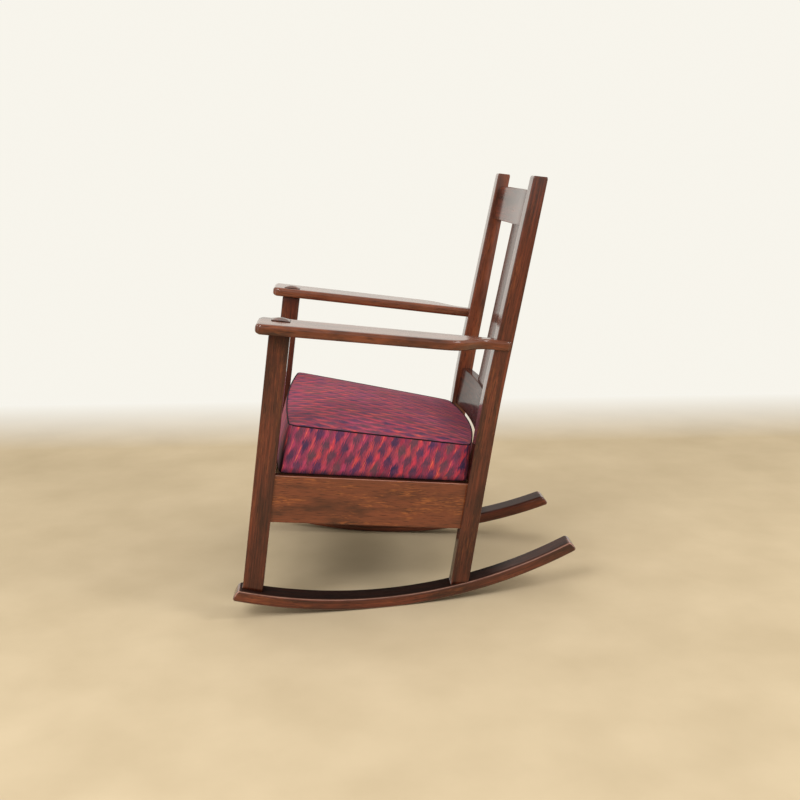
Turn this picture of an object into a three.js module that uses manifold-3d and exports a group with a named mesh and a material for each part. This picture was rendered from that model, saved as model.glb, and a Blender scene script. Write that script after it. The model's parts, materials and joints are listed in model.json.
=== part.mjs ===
// Oak rocking armchair with a lift-out spring seat, built board by board.
// Millimetres, +Z up. The front faces -Y; left (+X) and right are the sitter's own.
//
// Two frames share one origin line under the rockers' lowest point:
//   floor frame  - the rockers, level on the floor;
//   chair frame  - everything above them, drawn upright and then leant back by restTilt.
import * as THREE from 'three';
import { mergeVertices } from 'three/addons/utils/BufferGeometryUtils.js';
import Module from 'manifold-3d';

const wasm = await Module();
wasm.setup();
const { Manifold } = wasm;

// ---- Driving dimensions -------------------------------------------------------------

// Fits
const restTilt = THREE.MathUtils.degToRad(6.5); // how far the frame leans back at rest
const jointGap = 0.3; // between pieces that touch
const seatGap = 1.5; // all round the seat that lifts out
const tenonLength = 18; // the side rails' blind tenons into the posts
const tenonThick = 10;
const tenonShoulder = 9; // step above and below a blind tenon
const tenonClear = 2; // from a cross rail's tenon to the side rail's, inside a post

// Rockers
const rockerRadius = 1045; // of the underside
const rockerThick = 25;
const rockerWidth = 52;
const rockerFrontOverhang = 42.8; // past the middle of the front post's foot
const rockerRearOverhang = 259.7; // past the middle of the rear post's foot
const rockerEndRound = 13; // rounding of each end, seen from the side
const rockerFacet = 30; // length of one flat of the underside
const rockerSetOutFront = 12; // rocker's outer face outside the front post
const rockerSetOutRear = 2; // and outside the rear post

// Front posts
const frontPostStock = 41.3; // square section
const frontPostOuterX = 306.7;
const frontPostFrontY = -295;
const frontPostRake = 0.0152; // rise of Y with Z

// Rear posts
const rearPostThick = 41.3; // across the chair
const rearPostDepth = 37; // fore and aft, below the seat
const rearPostTopDepth = 28.6;
const rearPostOuterX = 235.7; // at Z 0
const rearPostSplay = 0.0264; // rise of X with Z
const rearPostBackY = 173.2; // rear face at Z 0
const rearPostLowerRake = 0.0397;
const rearPostUpperRake = 0.0725; // rear face above the bend
const rearPostBendRise = 175.1; // bend above the rails' top edge
const postTopZ = 912.5;
const postTopChamfer = 3;

// Arms
const armUndersideZ = 563.3;
const armThick = 20.6;
const armFrontOverhang = 24.6; // ahead of the front post
const armOuterOverhang = 57.3; // outside the front post
const armInnerOverhang = 6.9; // inside the front post
const armOuterTaper = -0.0995; // change of X with Y
const armNotch = 19.3; // inner edge outside the rear post's inner face
const armCornerRound = 11;
const armSweepLength = 118; // of the curve where the outer edge sweeps in
const armSweepEnd = 3.6; // behind the rear post's front face
const armEndInset = 1; // ahead of the rear post's back
const armTongue = 9; // what runs past the outside of the rear post
const armTenonShoulder = 2; // step round the through tenon
const armTenonProud = 1.5;
const armTenonCrown = 4;
const armTenonCrownShare = 0.35; // of the tenon's width left at the top of its crown

// Seat rails of the frame
const railTopZ = 274.4;
const railHeight = 98.4;
const railThick = 20.6;
const railRecess = 6; // set back from the posts' outer faces

// Back
const backRailThick = 22;
const backRailBow = 18; // how far the middle curves back
const backRailInset = 10; // behind the posts' front faces
const crestDrop = 28.5; // below the tops of the posts
const crestHeight = 79;
const lowerBackRise = 167.1; // top edge above the rails' top edge
const lowerBackHeight = 88;
const splatWidth = 140;
const splatThick = 10;
const splatTenon = 12;
const splatSetForward = 1; // of the middle of the rails it stands between

// Corner blocks, cleats and fasteners
const supportHeight = 30; // corner blocks
const blockLeg = 66;
const blockNose = 2; // thickness left at a block's tips
const cleatSection = 16;
const cleatGap = 1; // to the front and rear rails
const screwShank = 4.5;
const screwHead = 9;
const screwRecess = 3; // heads sunk into the rockers
const rockerScrewLength = 58;
const blockScrewLength = 34;
const blockScrewBite = 14.4; // how deep it goes into a rail
const blockScrewAlongSide = 41; // from the corner
const blockScrewAlongCross = 46;
const armScrewLength = 62;
const plugDiameter = 10;
const plugLength = 7;

// Seat
const seatFrameHeight = 46;
const seatFrameThick = 20;
const seatFrontSetBack = 17.5; // cushion's front corners behind the front posts
const seatRearClear = 2.1; // cushion's rear corners ahead of the rear posts
const seatFrameSetForward = 12; // frame's front ahead of the cushion's corners
const seatFrameSetIn = 2; // frame's rear ahead of the cushion's corners
const seatSideInset = 13; // cushion's side behind the rail's outer face
const seatFrontBow = 15;
const seatFrontFlare = 11; // the front wall stands this much further out at its foot
const seatRearBow = 24;
const seatCornerRound = 12;
const cushionRise = 102.6; // top edge at the front corners, above the rails
const cushionSlope = -0.059; // fall of the top edge toward the back
const cushionCrown = 9;
const cushionCrownWidth = 60;
const paddingThick = 30; // at the cushion's walls
const paddingOverSprings = 22;
const slatThick = 10;
const slatWidth = 52;
const slatLift = 4; // above the frame's underside
const slatEndShare = 0.25; // extra part of a pitch left at each end of the row
const slatCount = 3;
const springsPerSlat = 3;
const springRadius = 30;
const springWallGap = 50; // outer springs to the frame's inner wall
const springWire = 3.4;
const springTurns = 4;
const springStepsPerTurn = 9;
const burlapThick = 2;
const coverThick = 1.2;

// ---- Materials ----------------------------------------------------------------------

const finish = (color, roughness, metalness = 0) =>
  new THREE.MeshStandardMaterial({ color, roughness, metalness });
const oak = finish(0x5f3324, 0.38);
const secondaryOak = finish(0x8a6240, 0.7);
const fabric = finish(0x8c3350, 0.9);
const burlap = finish(0x9c7b4e, 0.95);
const cambric = finish(0x1c1a1c, 0.95);
const screwSteel = finish(0x8d8a84, 0.4, 1);
const springSteel = finish(0x4a4743, 0.45, 1);

// ---- Geometry helpers ---------------------------------------------------------------

// Turns a closed three.js geometry into a solid that can be joined and cut.
function solid(geometry) {
  const bare = geometry.index ? geometry.toNonIndexed() : geometry.clone();
  bare.deleteAttribute('normal');
  bare.deleteAttribute('uv');
  const merged = mergeVertices(bare, 1e-4);
  const mesh = new wasm.Mesh({
    numProp: 3,
    vertProperties: new Float32Array(merged.attributes.position.array),
    triVerts: new Uint32Array(merged.index.array),
  });
  return new Manifold(mesh);
}

// A box between two limits on each axis.
function block([xMin, xMax], [yMin, yMax], [zMin, zMax]) {
  const box = new THREE.BoxGeometry(xMax - xMin, yMax - yMin, zMax - zMin);
  return box.translate((xMin + xMax) / 2, (yMin + yMax) / 2, (zMin + zMax) / 2);
}

// A plan outline carried straight up from zMin to zMax.
function boardUp(shape, zMin, zMax) {
  const settings = { depth: zMax - zMin, bevelEnabled: false, curveSegments: 10 };
  return new THREE.ExtrudeGeometry(shape, settings).translate(0, 0, zMin);
}

// A side profile (points of Y and Z) carried across the chair from xMin to xMax.
const sideways = new THREE.Matrix4().makeBasis(
  new THREE.Vector3(0, 1, 0), new THREE.Vector3(0, 0, 1), new THREE.Vector3(1, 0, 0));

function boardAcross(points, xMin, xMax) {
  const shape = new THREE.Shape(points.map(([y, z]) => new THREE.Vector2(y, z)));
  const geometry = new THREE.ExtrudeGeometry(shape, { depth: xMax - xMin, bevelEnabled: false });
  return geometry.applyMatrix4(sideways).translate(xMin, 0, 0);
}

// Leans a geometry: xByY moves X with Y, xByZ moves X with Z, yByZ moves Y with Z, zByY moves Z with Y.
function lean(geometry, { xByY = 0, xByZ = 0, yByZ = 0, zByY = 0 }) {
  return geometry.applyMatrix4(new THREE.Matrix4().makeShear(0, 0, xByY, zByY, xByZ, yByZ));
}

// Two limits in rising order, on the left (+1) or right (-1) side.
const sided = (side, a, b) => (side > 0 ? [a, b] : [-b, -a]);

const join = (solids) => solids.reduce((sum, next) => sum.add(next));
const cut = (body, cutters) => cutters.reduce((rest, next) => rest.subtract(next), body);

// ---- Lines that several pieces share ------------------------------------------------

const crestTopZ = postTopZ - crestDrop;
const lowerBackTopZ = railTopZ + lowerBackRise;
const rearPostBendZ = railTopZ + rearPostBendRise;
const frontPostInnerX = frontPostOuterX - frontPostStock;
const frontPostY = (z) => frontPostFrontY + frontPostRake * z;
const rearPostX = (z) => rearPostOuterX + rearPostSplay * z;
const rearPostBack = (z) => rearPostBackY + rearPostLowerRake * z
  + (rearPostUpperRake - rearPostLowerRake) * Math.max(0, z - rearPostBendZ);
const rearPostFace = (z) => rearPostBack(z) - rearPostDepth
  + (rearPostDepth - rearPostTopDepth) * Math.max(0, z - rearPostBendZ) / (postTopZ - rearPostBendZ);
const backSlope = (rearPostFace(postTopZ) - rearPostFace(rearPostBendZ)) / (postTopZ - rearPostBendZ);
const backFaceY = (z) => rearPostFace(rearPostBendZ) + backSlope * (z - rearPostBendZ) + backRailInset;

// The line of the posts' outer faces at seat height, front post's rear corner to rear post's front.
const seatLevelZ = railTopZ - railHeight / 2;
const sideStart = new THREE.Vector2(frontPostOuterX, frontPostY(seatLevelZ) + frontPostStock);
const sideEnd = new THREE.Vector2(rearPostX(seatLevelZ), rearPostFace(seatLevelZ));
const sideTaper = (sideEnd.x - sideStart.x) / (sideEnd.y - sideStart.y);
const sideLineX = (y) => sideStart.x + sideTaper * (y - sideStart.y);

// Limits that reach past every piece of the seat and its rails.
const fullWidth = [-frontPostOuterX, frontPostOuterX];
const fullDepth = [2 * frontPostFrontY, -2 * frontPostFrontY];

// The floor frame is reached from the chair frame by leaning back.
const tiltBack = new THREE.Matrix4().makeRotationX(-restTilt);
const standUp = new THREE.Matrix4().makeRotationX(restTilt);
const floorY = (y, z) => y * Math.cos(restTilt) + z * Math.sin(restTilt);

// ---- Rockers (floor frame) ----------------------------------------------------------

const rockerFlatAngle = rockerFacet / rockerRadius;
const rockerCentreZ = rockerRadius * Math.cos(rockerFlatAngle / 2);
const footZ = rockerThick * 2; // about where the posts land
const frontFootY = floorY(frontPostY(footZ) + frontPostStock / 2, footZ);
const rearFootY = floorY(rearPostBack(footZ) - rearPostDepth / 2, footZ);
const rockerFrontX = frontPostOuterX + rockerSetOutFront;
const rockerRearX = rearPostX(footZ) + rockerSetOutRear;
const rockerTaper = (rockerRearX - rockerFrontX) / (rearFootY - frontFootY);
const rockerOuterX = (y) => rockerFrontX + rockerTaper * (y - frontFootY);
const rockerFrontReach = rockerFrontOverhang - frontFootY;
const rockerRearReach = rockerRearOverhang + rearFootY;

function arcPoint(angle, radius) {
  return [radius * Math.sin(angle), rockerCentreZ - radius * Math.cos(angle)];
}

// Angles of the corners between flats, so that one flat is level at the lowest point.
function rockerAngles() {
  const first = -Math.asin(rockerFrontReach / rockerRadius);
  const last = Math.asin(rockerRearReach / rockerRadius);
  const angles = [first];
  for (let k = Math.ceil(first / rockerFlatAngle - 0.5); (k + 0.5) * rockerFlatAngle < last; k++) {
    if ((k + 0.5) * rockerFlatAngle > first + rockerFlatAngle / 4) angles.push((k + 0.5) * rockerFlatAngle);
  }
  if (last - angles[angles.length - 1] < rockerFlatAngle / 4) angles.pop();
  return [...angles, last];
}

function rockerProfile() {
  const angles = rockerAngles();
  const topRadius = rockerRadius - rockerThick;
  const endSteps = 5;
  const roundAngle = rockerEndRound / rockerRadius;
  const roundedEnd = (angle, sense) => Array.from({ length: endSteps }, (_, i) => {
    const share = (i + 1) / (endSteps + 1);
    const pullBack = roundAngle * (1 - Math.sqrt(1 - share ** 2));
    return arcPoint(angle - sense * pullBack, rockerRadius + share * (topRadius - rockerRadius));
  });
  const first = angles[0];
  const last = angles[angles.length - 1];
  const inner = angles.slice(1, -1);
  return [
    ...angles.map((angle) => arcPoint(angle, rockerRadius)),
    ...roundedEnd(last, 1),
    arcPoint(last - roundAngle, topRadius),
    ...inner.reverse().filter((a) => a < last - roundAngle && a > first + roundAngle)
      .map((angle) => arcPoint(angle, topRadius)),
    arcPoint(first + roundAngle, topRadius),
    ...roundedEnd(first, -1).reverse(),
  ];
}

function rockerBlank(side) {
  const outer = rockerOuterX(0);
  const geometry = boardAcross(rockerProfile(), ...sided(side, outer - rockerWidth, outer));
  return lean(geometry, { xByY: side * rockerTaper });
}

// Everything below the rockers' top faces, for trimming the posts' feet.
function belowRockers() {
  const points = rockerAngles().map((angle) => arcPoint(angle, rockerRadius - rockerThick - jointGap));
  const [firstY] = points[0];
  const [lastY] = points[points.length - 1];
  const depth = -rockerRadius / 2;
  const halfWidth = frontPostOuterX + rockerWidth * 2;
  return boardAcross([...points, [lastY, depth], [firstY, depth]], -halfWidth, halfWidth)
    .applyMatrix4(standUp);
}

// ---- Posts (chair frame) ------------------------------------------------------------

function frontPostBlank(side, grow = 0) {
  const limits = sided(side, frontPostInnerX - grow, frontPostOuterX + grow);
  const depth = [frontPostFrontY - grow, frontPostFrontY + frontPostStock + grow];
  return lean(block(limits, depth, [0, armUndersideZ - jointGap]), { yByZ: frontPostRake });
}

// The through tenon: square, with a low four-sided crown above the arm.
function armTenon(side, grow = 0) {
  const step = armTenonShoulder - grow;
  const limits = sided(side, frontPostInnerX + step, frontPostOuterX - step);
  const depth = [frontPostFrontY + step, frontPostFrontY + frontPostStock - step];
  const shaftTop = armUndersideZ + armThick + armTenonProud;
  const shaft = block(limits, depth, [armUndersideZ - frontPostStock, shaftTop]);
  const crown = block(limits, depth, [shaftTop - jointGap, shaftTop + armTenonCrown]);
  taperTop(crown, armTenonCrownShare);
  return join([shaft, crown].map((part) => solid(lean(part, { yByZ: frontPostRake }))));
}

// Draws in the upper corners of a box to a share of their width.
function taperTop(box, share) {
  box.computeBoundingBox();
  const centre = box.boundingBox.getCenter(new THREE.Vector3());
  const position = box.attributes.position;
  for (let i = 0; i < position.count; i++) {
    if (position.getZ(i) < centre.z) continue;
    position.setX(i, centre.x + (position.getX(i) - centre.x) * share);
    position.setY(i, centre.y + (position.getY(i) - centre.y) * share);
  }
}

function rearPostBlank(side, grow = 0) {
  const top = postTopZ + grow;
  const profile = [
    [rearPostFace(0) - grow, 0],
    [rearPostBack(0) + grow, 0],
    [rearPostBack(rearPostBendZ) + grow, rearPostBendZ],
    [rearPostBack(top - postTopChamfer) + grow, top - postTopChamfer],
    [rearPostBack(top) + grow - postTopChamfer, top],
    [rearPostFace(top) - grow + postTopChamfer, top],
    [rearPostFace(top - postTopChamfer) - grow, top - postTopChamfer],
    [rearPostFace(rearPostBendZ) - grow, rearPostBendZ],
  ];
  const limits = sided(side, rearPostOuterX - rearPostThick - grow, rearPostOuterX + grow);
  return lean(boardAcross(profile, ...limits), { xByZ: side * rearPostSplay });
}

// ---- Frame rails (chair frame) ------------------------------------------------------

const railBottomZ = railTopZ - railHeight;

// A blind tenon's size around the middle of a rail: thinner and lower by its shoulders.
function tenonLimits(outerFace, thick, bottom, top, grow) {
  const middle = outerFace - thick / 2;
  return {
    across: [middle - tenonThick / 2 - grow, middle + tenonThick / 2 + grow],
    height: [bottom + tenonShoulder - grow, top - tenonShoulder + grow],
  };
}

function sideRailParts(side, grow = 0) {
  const outer = sideLineX(0) - railRecess;
  const start = sideStart.y;
  const end = sideEnd.y;
  const shift = { xByY: side * sideTaper };
  const body = block(sided(side, outer - railThick, outer),
    [start - tenonLength, end + tenonLength], [railBottomZ, railTopZ]);
  const tenon = tenonLimits(outer, railThick, railBottomZ, railTopZ, grow);
  const through = block(sided(side, ...tenon.across),
    [start - tenonLength - grow, end + tenonLength + grow], tenon.height);
  return { body: solid(lean(body, shift)), tenon: solid(lean(through, shift)) };
}

// The inner cheek of a side rail's tenon; the cross rails' tenons stop short of it.
const sideTenonInnerX = (y) => sideLineX(y) - railRecess - (railThick + tenonThick) / 2;

function frontRailParts(grow = 0) {
  const face = frontPostFrontY + railRecess;
  const reach = sideTenonInnerX(sideStart.y - tenonLength) - tenonClear;
  const body = block([-reach, reach], [face, face + railThick], [railBottomZ, railTopZ]);
  const tenon = tenonLimits(face + railThick, railThick, railBottomZ, railTopZ, grow);
  const through = block([-reach - grow, reach + grow], tenon.across, tenon.height);
  const shift = { yByZ: frontPostRake };
  return { body: solid(lean(body, shift)), tenon: solid(lean(through, shift)) };
}

function rearRailParts(grow = 0) {
  const face = rearPostBackY - railRecess;
  const reach = sideTenonInnerX(sideEnd.y + tenonLength) - tenonClear;
  const body = block([-reach, reach], [face - railThick, face], [railBottomZ, railTopZ]);
  const tenon = tenonLimits(face, railThick, railBottomZ, railTopZ, grow);
  const through = block([-reach - grow, reach + grow], tenon.across, tenon.height);
  const shift = { yByZ: rearPostLowerRake };
  return { body: solid(lean(body, shift)), tenon: solid(lean(through, shift)) };
}

// ---- Back (chair frame) -------------------------------------------------------------

// Plan of a rail that curves back in the middle: front arc out, rear arc home.
function bowedPlan(halfLength, frontY, thick) {
  const steps = 14;
  const arc = (offset) => Array.from({ length: steps + 1 }, (_, i) => {
    const x = halfLength * (2 * i / steps - 1);
    return new THREE.Vector2(x, frontY + offset + backRailBow * (1 - (x / halfLength) ** 2));
  });
  return new THREE.Shape([...arc(0), ...arc(thick).reverse()]);
}

function backRailParts(topZ, height, grow = 0) {
  const halfLength = rearPostX(topZ - height / 2) - rearPostThick + tenonLength;
  const shift = { yByZ: backSlope };
  const face = backFaceY(0);
  const plan = bowedPlan(halfLength, face, backRailThick);
  const inset = (backRailThick - tenonThick) / 2 - grow;
  const thinPlan = bowedPlan(halfLength + grow, face + inset, tenonThick + 2 * grow);
  const tenon = boardUp(thinPlan, topZ - height + tenonShoulder - grow, topZ - tenonShoulder + grow);
  return {
    body: solid(lean(boardUp(plan, topZ - height, topZ), shift)),
    tenon: solid(lean(tenon, shift)),
  };
}

const crestParts = (grow) => backRailParts(crestTopZ, crestHeight, grow);
const lowerBackParts = (grow) => backRailParts(lowerBackTopZ, lowerBackHeight, grow);

function splatBlank(grow = 0) {
  const face = backFaceY(0) + backRailBow + (backRailThick - splatThick) / 2 - splatSetForward;
  const board = block([-splatWidth / 2 - grow, splatWidth / 2 + grow],
    [face - grow, face + splatThick + grow],
    [lowerBackTopZ - splatTenon - grow, crestTopZ - crestHeight + splatTenon + grow]);
  return solid(lean(board, { yByZ: backSlope }));
}

// ---- Arms (chair frame) -------------------------------------------------------------

const armFrontY = frontPostY(armUndersideZ) - armFrontOverhang;
const armRearY = rearPostBack(armUndersideZ) - armEndInset;
const armCurveEndY = rearPostFace(armUndersideZ) + armSweepEnd;
const armCurveStartY = armCurveEndY - armSweepLength;
const armFrontInnerX = frontPostInnerX - armInnerOverhang;
const armRearInnerX = rearPostX(armUndersideZ) - rearPostThick + armNotch;
const armInnerTaper = (armRearInnerX - armFrontInnerX) / (armCurveEndY - armFrontY);
const armOuterX = (y) => frontPostOuterX + armOuterOverhang + armOuterTaper * (y - armFrontY);
const armInnerX = (y) => armFrontInnerX + armInnerTaper * (y - armFrontY);

// Straight tapering sides, rounded front corners, and an ogee that sweeps in to the rear post.
function armPlan(side) {
  const tongueX = rearPostX(armUndersideZ) + armTongue;
  const middleY = (armCurveStartY + armCurveEndY) / 2;
  const r = armCornerRound;
  const shape = new THREE.Shape();
  shape.moveTo(side * (armInnerX(armFrontY) + r), armFrontY);
  shape.lineTo(side * (armOuterX(armFrontY) - r), armFrontY);
  shape.quadraticCurveTo(side * armOuterX(armFrontY), armFrontY,
    side * armOuterX(armFrontY + r), armFrontY + r);
  shape.lineTo(side * armOuterX(armCurveStartY), armCurveStartY);
  shape.bezierCurveTo(side * armOuterX(middleY), middleY + r, side * tongueX, middleY,
    side * tongueX, armCurveEndY);
  shape.lineTo(side * tongueX, armRearY);
  shape.lineTo(side * armInnerX(armRearY), armRearY);
  shape.lineTo(side * armInnerX(armFrontY + r), armFrontY + r);
  shape.quadraticCurveTo(side * armInnerX(armFrontY), armFrontY,
    side * (armInnerX(armFrontY) + r), armFrontY);
  return shape;
}

const armBlank = (side) => solid(boardUp(armPlan(side), armUndersideZ, armUndersideZ + armThick));

// ---- Corner blocks and cleats (chair frame) -----------------------------------------

const supportTopZ = railTopZ - seatFrameHeight - jointGap;
const railInnerX = (y) => sideLineX(y) - railRecess - railThick;
const frontRailInnerY = frontPostY(supportTopZ) + railRecess + railThick;
const rearRailInnerY = rearPostBack(supportTopZ) - railRecess - railThick;

// A block is a triangle in the corner; the posts and rails then trim it.
function cornerBlockBlank(side, end) {
  const cornerY = end < 0 ? frontRailInnerY : rearRailInnerY;
  const towardMiddle = -end * blockLeg;
  const x = railInnerX(cornerY);
  const plan = new THREE.Shape([
    new THREE.Vector2(side * (x + railThick / 2), cornerY + end * railThick / 2),
    new THREE.Vector2(side * (x - blockLeg), cornerY + end * railThick / 2),
    new THREE.Vector2(side * (x - blockLeg), cornerY - end * blockNose),
    new THREE.Vector2(side * (railInnerX(cornerY + towardMiddle) - blockNose), cornerY + towardMiddle),
    new THREE.Vector2(side * (railInnerX(cornerY + towardMiddle) + railThick / 2), cornerY + towardMiddle),
  ]);
  return solid(boardUp(plan, supportTopZ - supportHeight, supportTopZ));
}

function sideCleatBlank(side) {
  const clear = blockLeg + jointGap;
  const outer = railInnerX(0) - jointGap;
  const strip = block(sided(side, outer - cleatSection, outer),
    [frontRailInnerY + clear, rearRailInnerY - clear], [supportTopZ - cleatSection, supportTopZ]);
  return solid(lean(strip, { xByY: side * sideTaper }));
}

function crossCleatBlank(end) {
  const cornerY = end < 0 ? frontRailInnerY : rearRailInnerY;
  const wallY = cornerY - end * cleatGap;
  const reach = railInnerX(cornerY) - blockLeg - jointGap;
  const depth = end < 0 ? [wallY, wallY + cleatSection] : [wallY - cleatSection, wallY];
  return solid(block([-reach, reach], depth, [supportTopZ - cleatSection, supportTopZ]));
}

// ---- Fasteners ----------------------------------------------------------------------

// A countersunk screw along +Z, its head's flat at Z 0 and its point up.
function screwGeometry(length, grow = 0) {
  const head = screwHead / 2 + grow;
  const shank = screwShank / 2 + grow;
  const profile = [
    new THREE.Vector2(0, -grow),
    new THREE.Vector2(head, -grow),
    new THREE.Vector2(shank, (screwHead - screwShank) / 2 + grow),
    new THREE.Vector2(shank, length - screwShank),
    new THREE.Vector2(0, length + grow),
  ];
  return new THREE.LatheGeometry(profile, 12).rotateX(Math.PI / 2);
}

// Aims a piece that was drawn along +Z in another direction, from a start point.
function aimed(geometry, direction, start) {
  const turn = new THREE.Quaternion().setFromUnitVectors(new THREE.Vector3(0, 0, 1), direction);
  return geometry.applyQuaternion(turn).translate(start.x, start.y, start.z);
}

// Up through the rocker into the foot of a post (floor frame).
function rockerScrew(side, y, x, grow = 0) {
  const underside = rockerCentreZ - Math.sqrt(rockerRadius ** 2 - y ** 2);
  const geometry = screwGeometry(rockerScrewLength, grow);
  return geometry.translate(side * x, y, underside + screwRecess);
}

const rockerScrewSpots = {
  front: { y: frontFootY, x: frontPostOuterX - frontPostStock / 2 },
  rear: { y: rearFootY, x: rearPostX(footZ) - rearPostThick / 2 },
};

// Two screws hold each corner block, one into the side rail and one into the cross rail.
function blockScrew(side, end, into, grow = 0) {
  const cornerY = end < 0 ? frontRailInnerY : rearRailInnerY;
  const reach = blockScrewLength - blockScrewBite;
  const z = supportTopZ - supportHeight / 2;
  const alongSide = cornerY - end * blockScrewAlongSide;
  const alongCross = side * (railInnerX(cornerY) - blockScrewAlongCross);
  const start = into === 'side'
    ? new THREE.Vector3(side * (railInnerX(alongSide) - reach), alongSide, z)
    : new THREE.Vector3(alongCross, cornerY - end * reach, z);
  const direction = into === 'side' ? new THREE.Vector3(side, 0, 0) : new THREE.Vector3(0, end, 0);
  return solid(aimed(screwGeometry(blockScrewLength, grow), direction, start));
}

// Forward through the rear post into the end of the arm, its head under a wooden plug.
function armScrewStart(side) {
  const z = armUndersideZ + armThick / 2;
  const x = (armInnerX(rearPostFace(z)) + rearPostX(z)) / 2;
  return new THREE.Vector3(side * x, rearPostBack(z) - plugLength - jointGap, z);
}

const forward = new THREE.Vector3(0, -1, 0);

function armScrew(side, grow = 0) {
  return solid(aimed(screwGeometry(armScrewLength, grow), forward, armScrewStart(side)));
}

// The plug; grown, it is the hole for it, which runs out through the post's back.
function armPlug(side, grow = 0) {
  const radius = plugDiameter / 2 + grow;
  const runOut = grow > 0 ? plugLength : 0;
  const length = plugLength - jointGap + grow * 2 + runOut;
  const plug = new THREE.CylinderGeometry(radius, radius, length, 16)
    .rotateX(Math.PI / 2).translate(0, 0, length / 2 + jointGap - grow);
  return solid(aimed(plug, forward.clone().negate(), armScrewStart(side)));
}

// ---- Seat (chair frame) -------------------------------------------------------------

const cushionBaseZ = railTopZ + 2 * jointGap;
const frameTopZ = cushionBaseZ - jointGap;
const frameBottomZ = frameTopZ - seatFrameHeight;
const frameOuterX = (y) => railInnerX(y) - seatGap;
const seatFrontY = frontPostY(railTopZ) + frontPostStock + seatFrontSetBack;
const seatRearY = rearPostFace(railTopZ) - seatRearClear;
const frameFrontY = Math.max(seatFrontY - seatFrameSetForward,
  frontPostY(frameTopZ) + frontPostStock + seatGap);
const frameRearY = Math.min(seatRearY - seatFrameSetIn, rearPostFace(frameBottomZ) - seatGap);
const cushionFrontZ = railTopZ + cushionRise;
const cushionTopZ = (y) => cushionFrontZ + cushionSlope * (y - seatFrontY);

// Plan of the cushion, or of a layer inside it: tapering sides, bowed front and back.
function seatPlan(inset, flare = 0) {
  const front = seatFrontY + inset - flare;
  const rear = seatRearY - inset;
  const r = seatCornerRound;
  const sideX = (y) => sideLineX(y) - railRecess - seatSideInset - inset;
  const shape = new THREE.Shape();
  shape.moveTo(sideX(front + r), front + r);
  shape.lineTo(sideX(rear - r), rear - r);
  shape.quadraticCurveTo(sideX(rear), rear, sideX(rear) - r, rear);
  shape.quadraticCurveTo(0, rear + 2 * seatRearBow, r - sideX(rear), rear);
  shape.quadraticCurveTo(-sideX(rear), rear, -sideX(rear - r), rear - r);
  shape.lineTo(-sideX(front + r), front + r);
  shape.quadraticCurveTo(-sideX(front), front, r - sideX(front), front);
  shape.quadraticCurveTo(0, front - 2 * seatFrontBow, sideX(front) - r, front);
  shape.quadraticCurveTo(sideX(front), front, sideX(front + r), front + r);
  return shape;
}

// A plan carried up to a top that falls toward the back.
function slopedPad(inset, bottomZ, drop) {
  const top = cushionTopZ(0) - drop;
  const tall = boardUp(seatPlan(inset), 0, top);
  const below = block(fullWidth, fullDepth, [-bottomZ, bottomZ]);
  return solid(lean(tall, { zByY: cushionSlope })).subtract(solid(below));
}

const crownShares = [0, 0.25, 0.55, 1]; // how far in each ring of the crown stands

// The cushion's outside: a straight wall, then rings that draw in as they rise to the crown.
function crownedPad() {
  const level = () => cushionBaseZ;
  const crownRing = (share) => ({
    inset: cushionCrownWidth * share,
    z: (y) => cushionTopZ(y) + cushionCrown * Math.sin(share * Math.PI / 2),
  });
  const foot = { inset: 0, flare: seatFrontFlare, z: level };
  const rings = [foot, ...crownShares.map(crownRing)];
  const corners = rings.map(({ inset, flare, z }) => seatPlan(inset, flare).getPoints(8).slice(0, -1)
    .map(({ x, y }) => [x, y, z(y)]));
  const count = corners[0].length;
  const index = [];
  for (let ring = 0; ring < rings.length - 1; ring++) {
    for (let i = 0; i < count; i++) {
      const [a, b] = [ring * count + i, ring * count + (i + 1) % count];
      index.push(a, b, b + count, a, b + count, a + count);
    }
  }
  const cap = THREE.ShapeUtils.triangulateShape(corners[0].map(([x, y]) => new THREE.Vector2(x, y)), []);
  const top = (rings.length - 1) * count;
  for (const [a, b, c] of cap) index.push(c, b, a, top + a, top + b, top + c);
  const geometry = new THREE.BufferGeometry();
  geometry.setAttribute('position', new THREE.Float32BufferAttribute(corners.flat(2), 3));
  return solid(geometry.setIndex(index));
}

// Padding and cover as one shell, open underneath for the springs.
function cushionSolid() {
  return crownedPad().subtract(slopedPad(paddingThick, cushionBaseZ - paddingThick, paddingOverSprings));
}

const burlapDrop = paddingOverSprings + jointGap;

function burlapSolid() {
  const inset = paddingThick + jointGap * 2;
  const underside = cushionTopZ(0) - burlapDrop - burlapThick;
  const under = lean(block(fullWidth, fullDepth, [0, underside]), { zByY: cushionSlope });
  return slopedPad(inset, cushionBaseZ, burlapDrop).subtract(solid(under));
}

function seatFrameSide(side) {
  const bar = block(sided(side, frameOuterX(0) - seatFrameThick, frameOuterX(0)),
    [frameFrontY, frameRearY], [frameBottomZ, frameTopZ]);
  return solid(lean(bar, { xByY: side * sideTaper }));
}

function seatFrameCross(end) {
  const y = end < 0 ? frameFrontY : frameRearY - seatFrameThick;
  const rows = [y, y + seatFrameThick];
  const reach = (at) => frameOuterX(at) - seatFrameThick - jointGap;
  const plan = new THREE.Shape([
    new THREE.Vector2(-reach(rows[0]), rows[0]), new THREE.Vector2(reach(rows[0]), rows[0]),
    new THREE.Vector2(reach(rows[1]), rows[1]), new THREE.Vector2(-reach(rows[1]), rows[1]),
  ]);
  return solid(boardUp(plan, frameBottomZ, frameTopZ));
}

// Slats lie across the frame, let into the side bars from below.
const slatBottomZ = frameBottomZ + slatLift;
const slatTopZ = slatBottomZ + slatThick;
const slatY = (index) => frameFrontY
  + (frameRearY - frameFrontY) * (index + 0.5 + slatEndShare) / (slatCount + 2 * slatEndShare);

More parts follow.
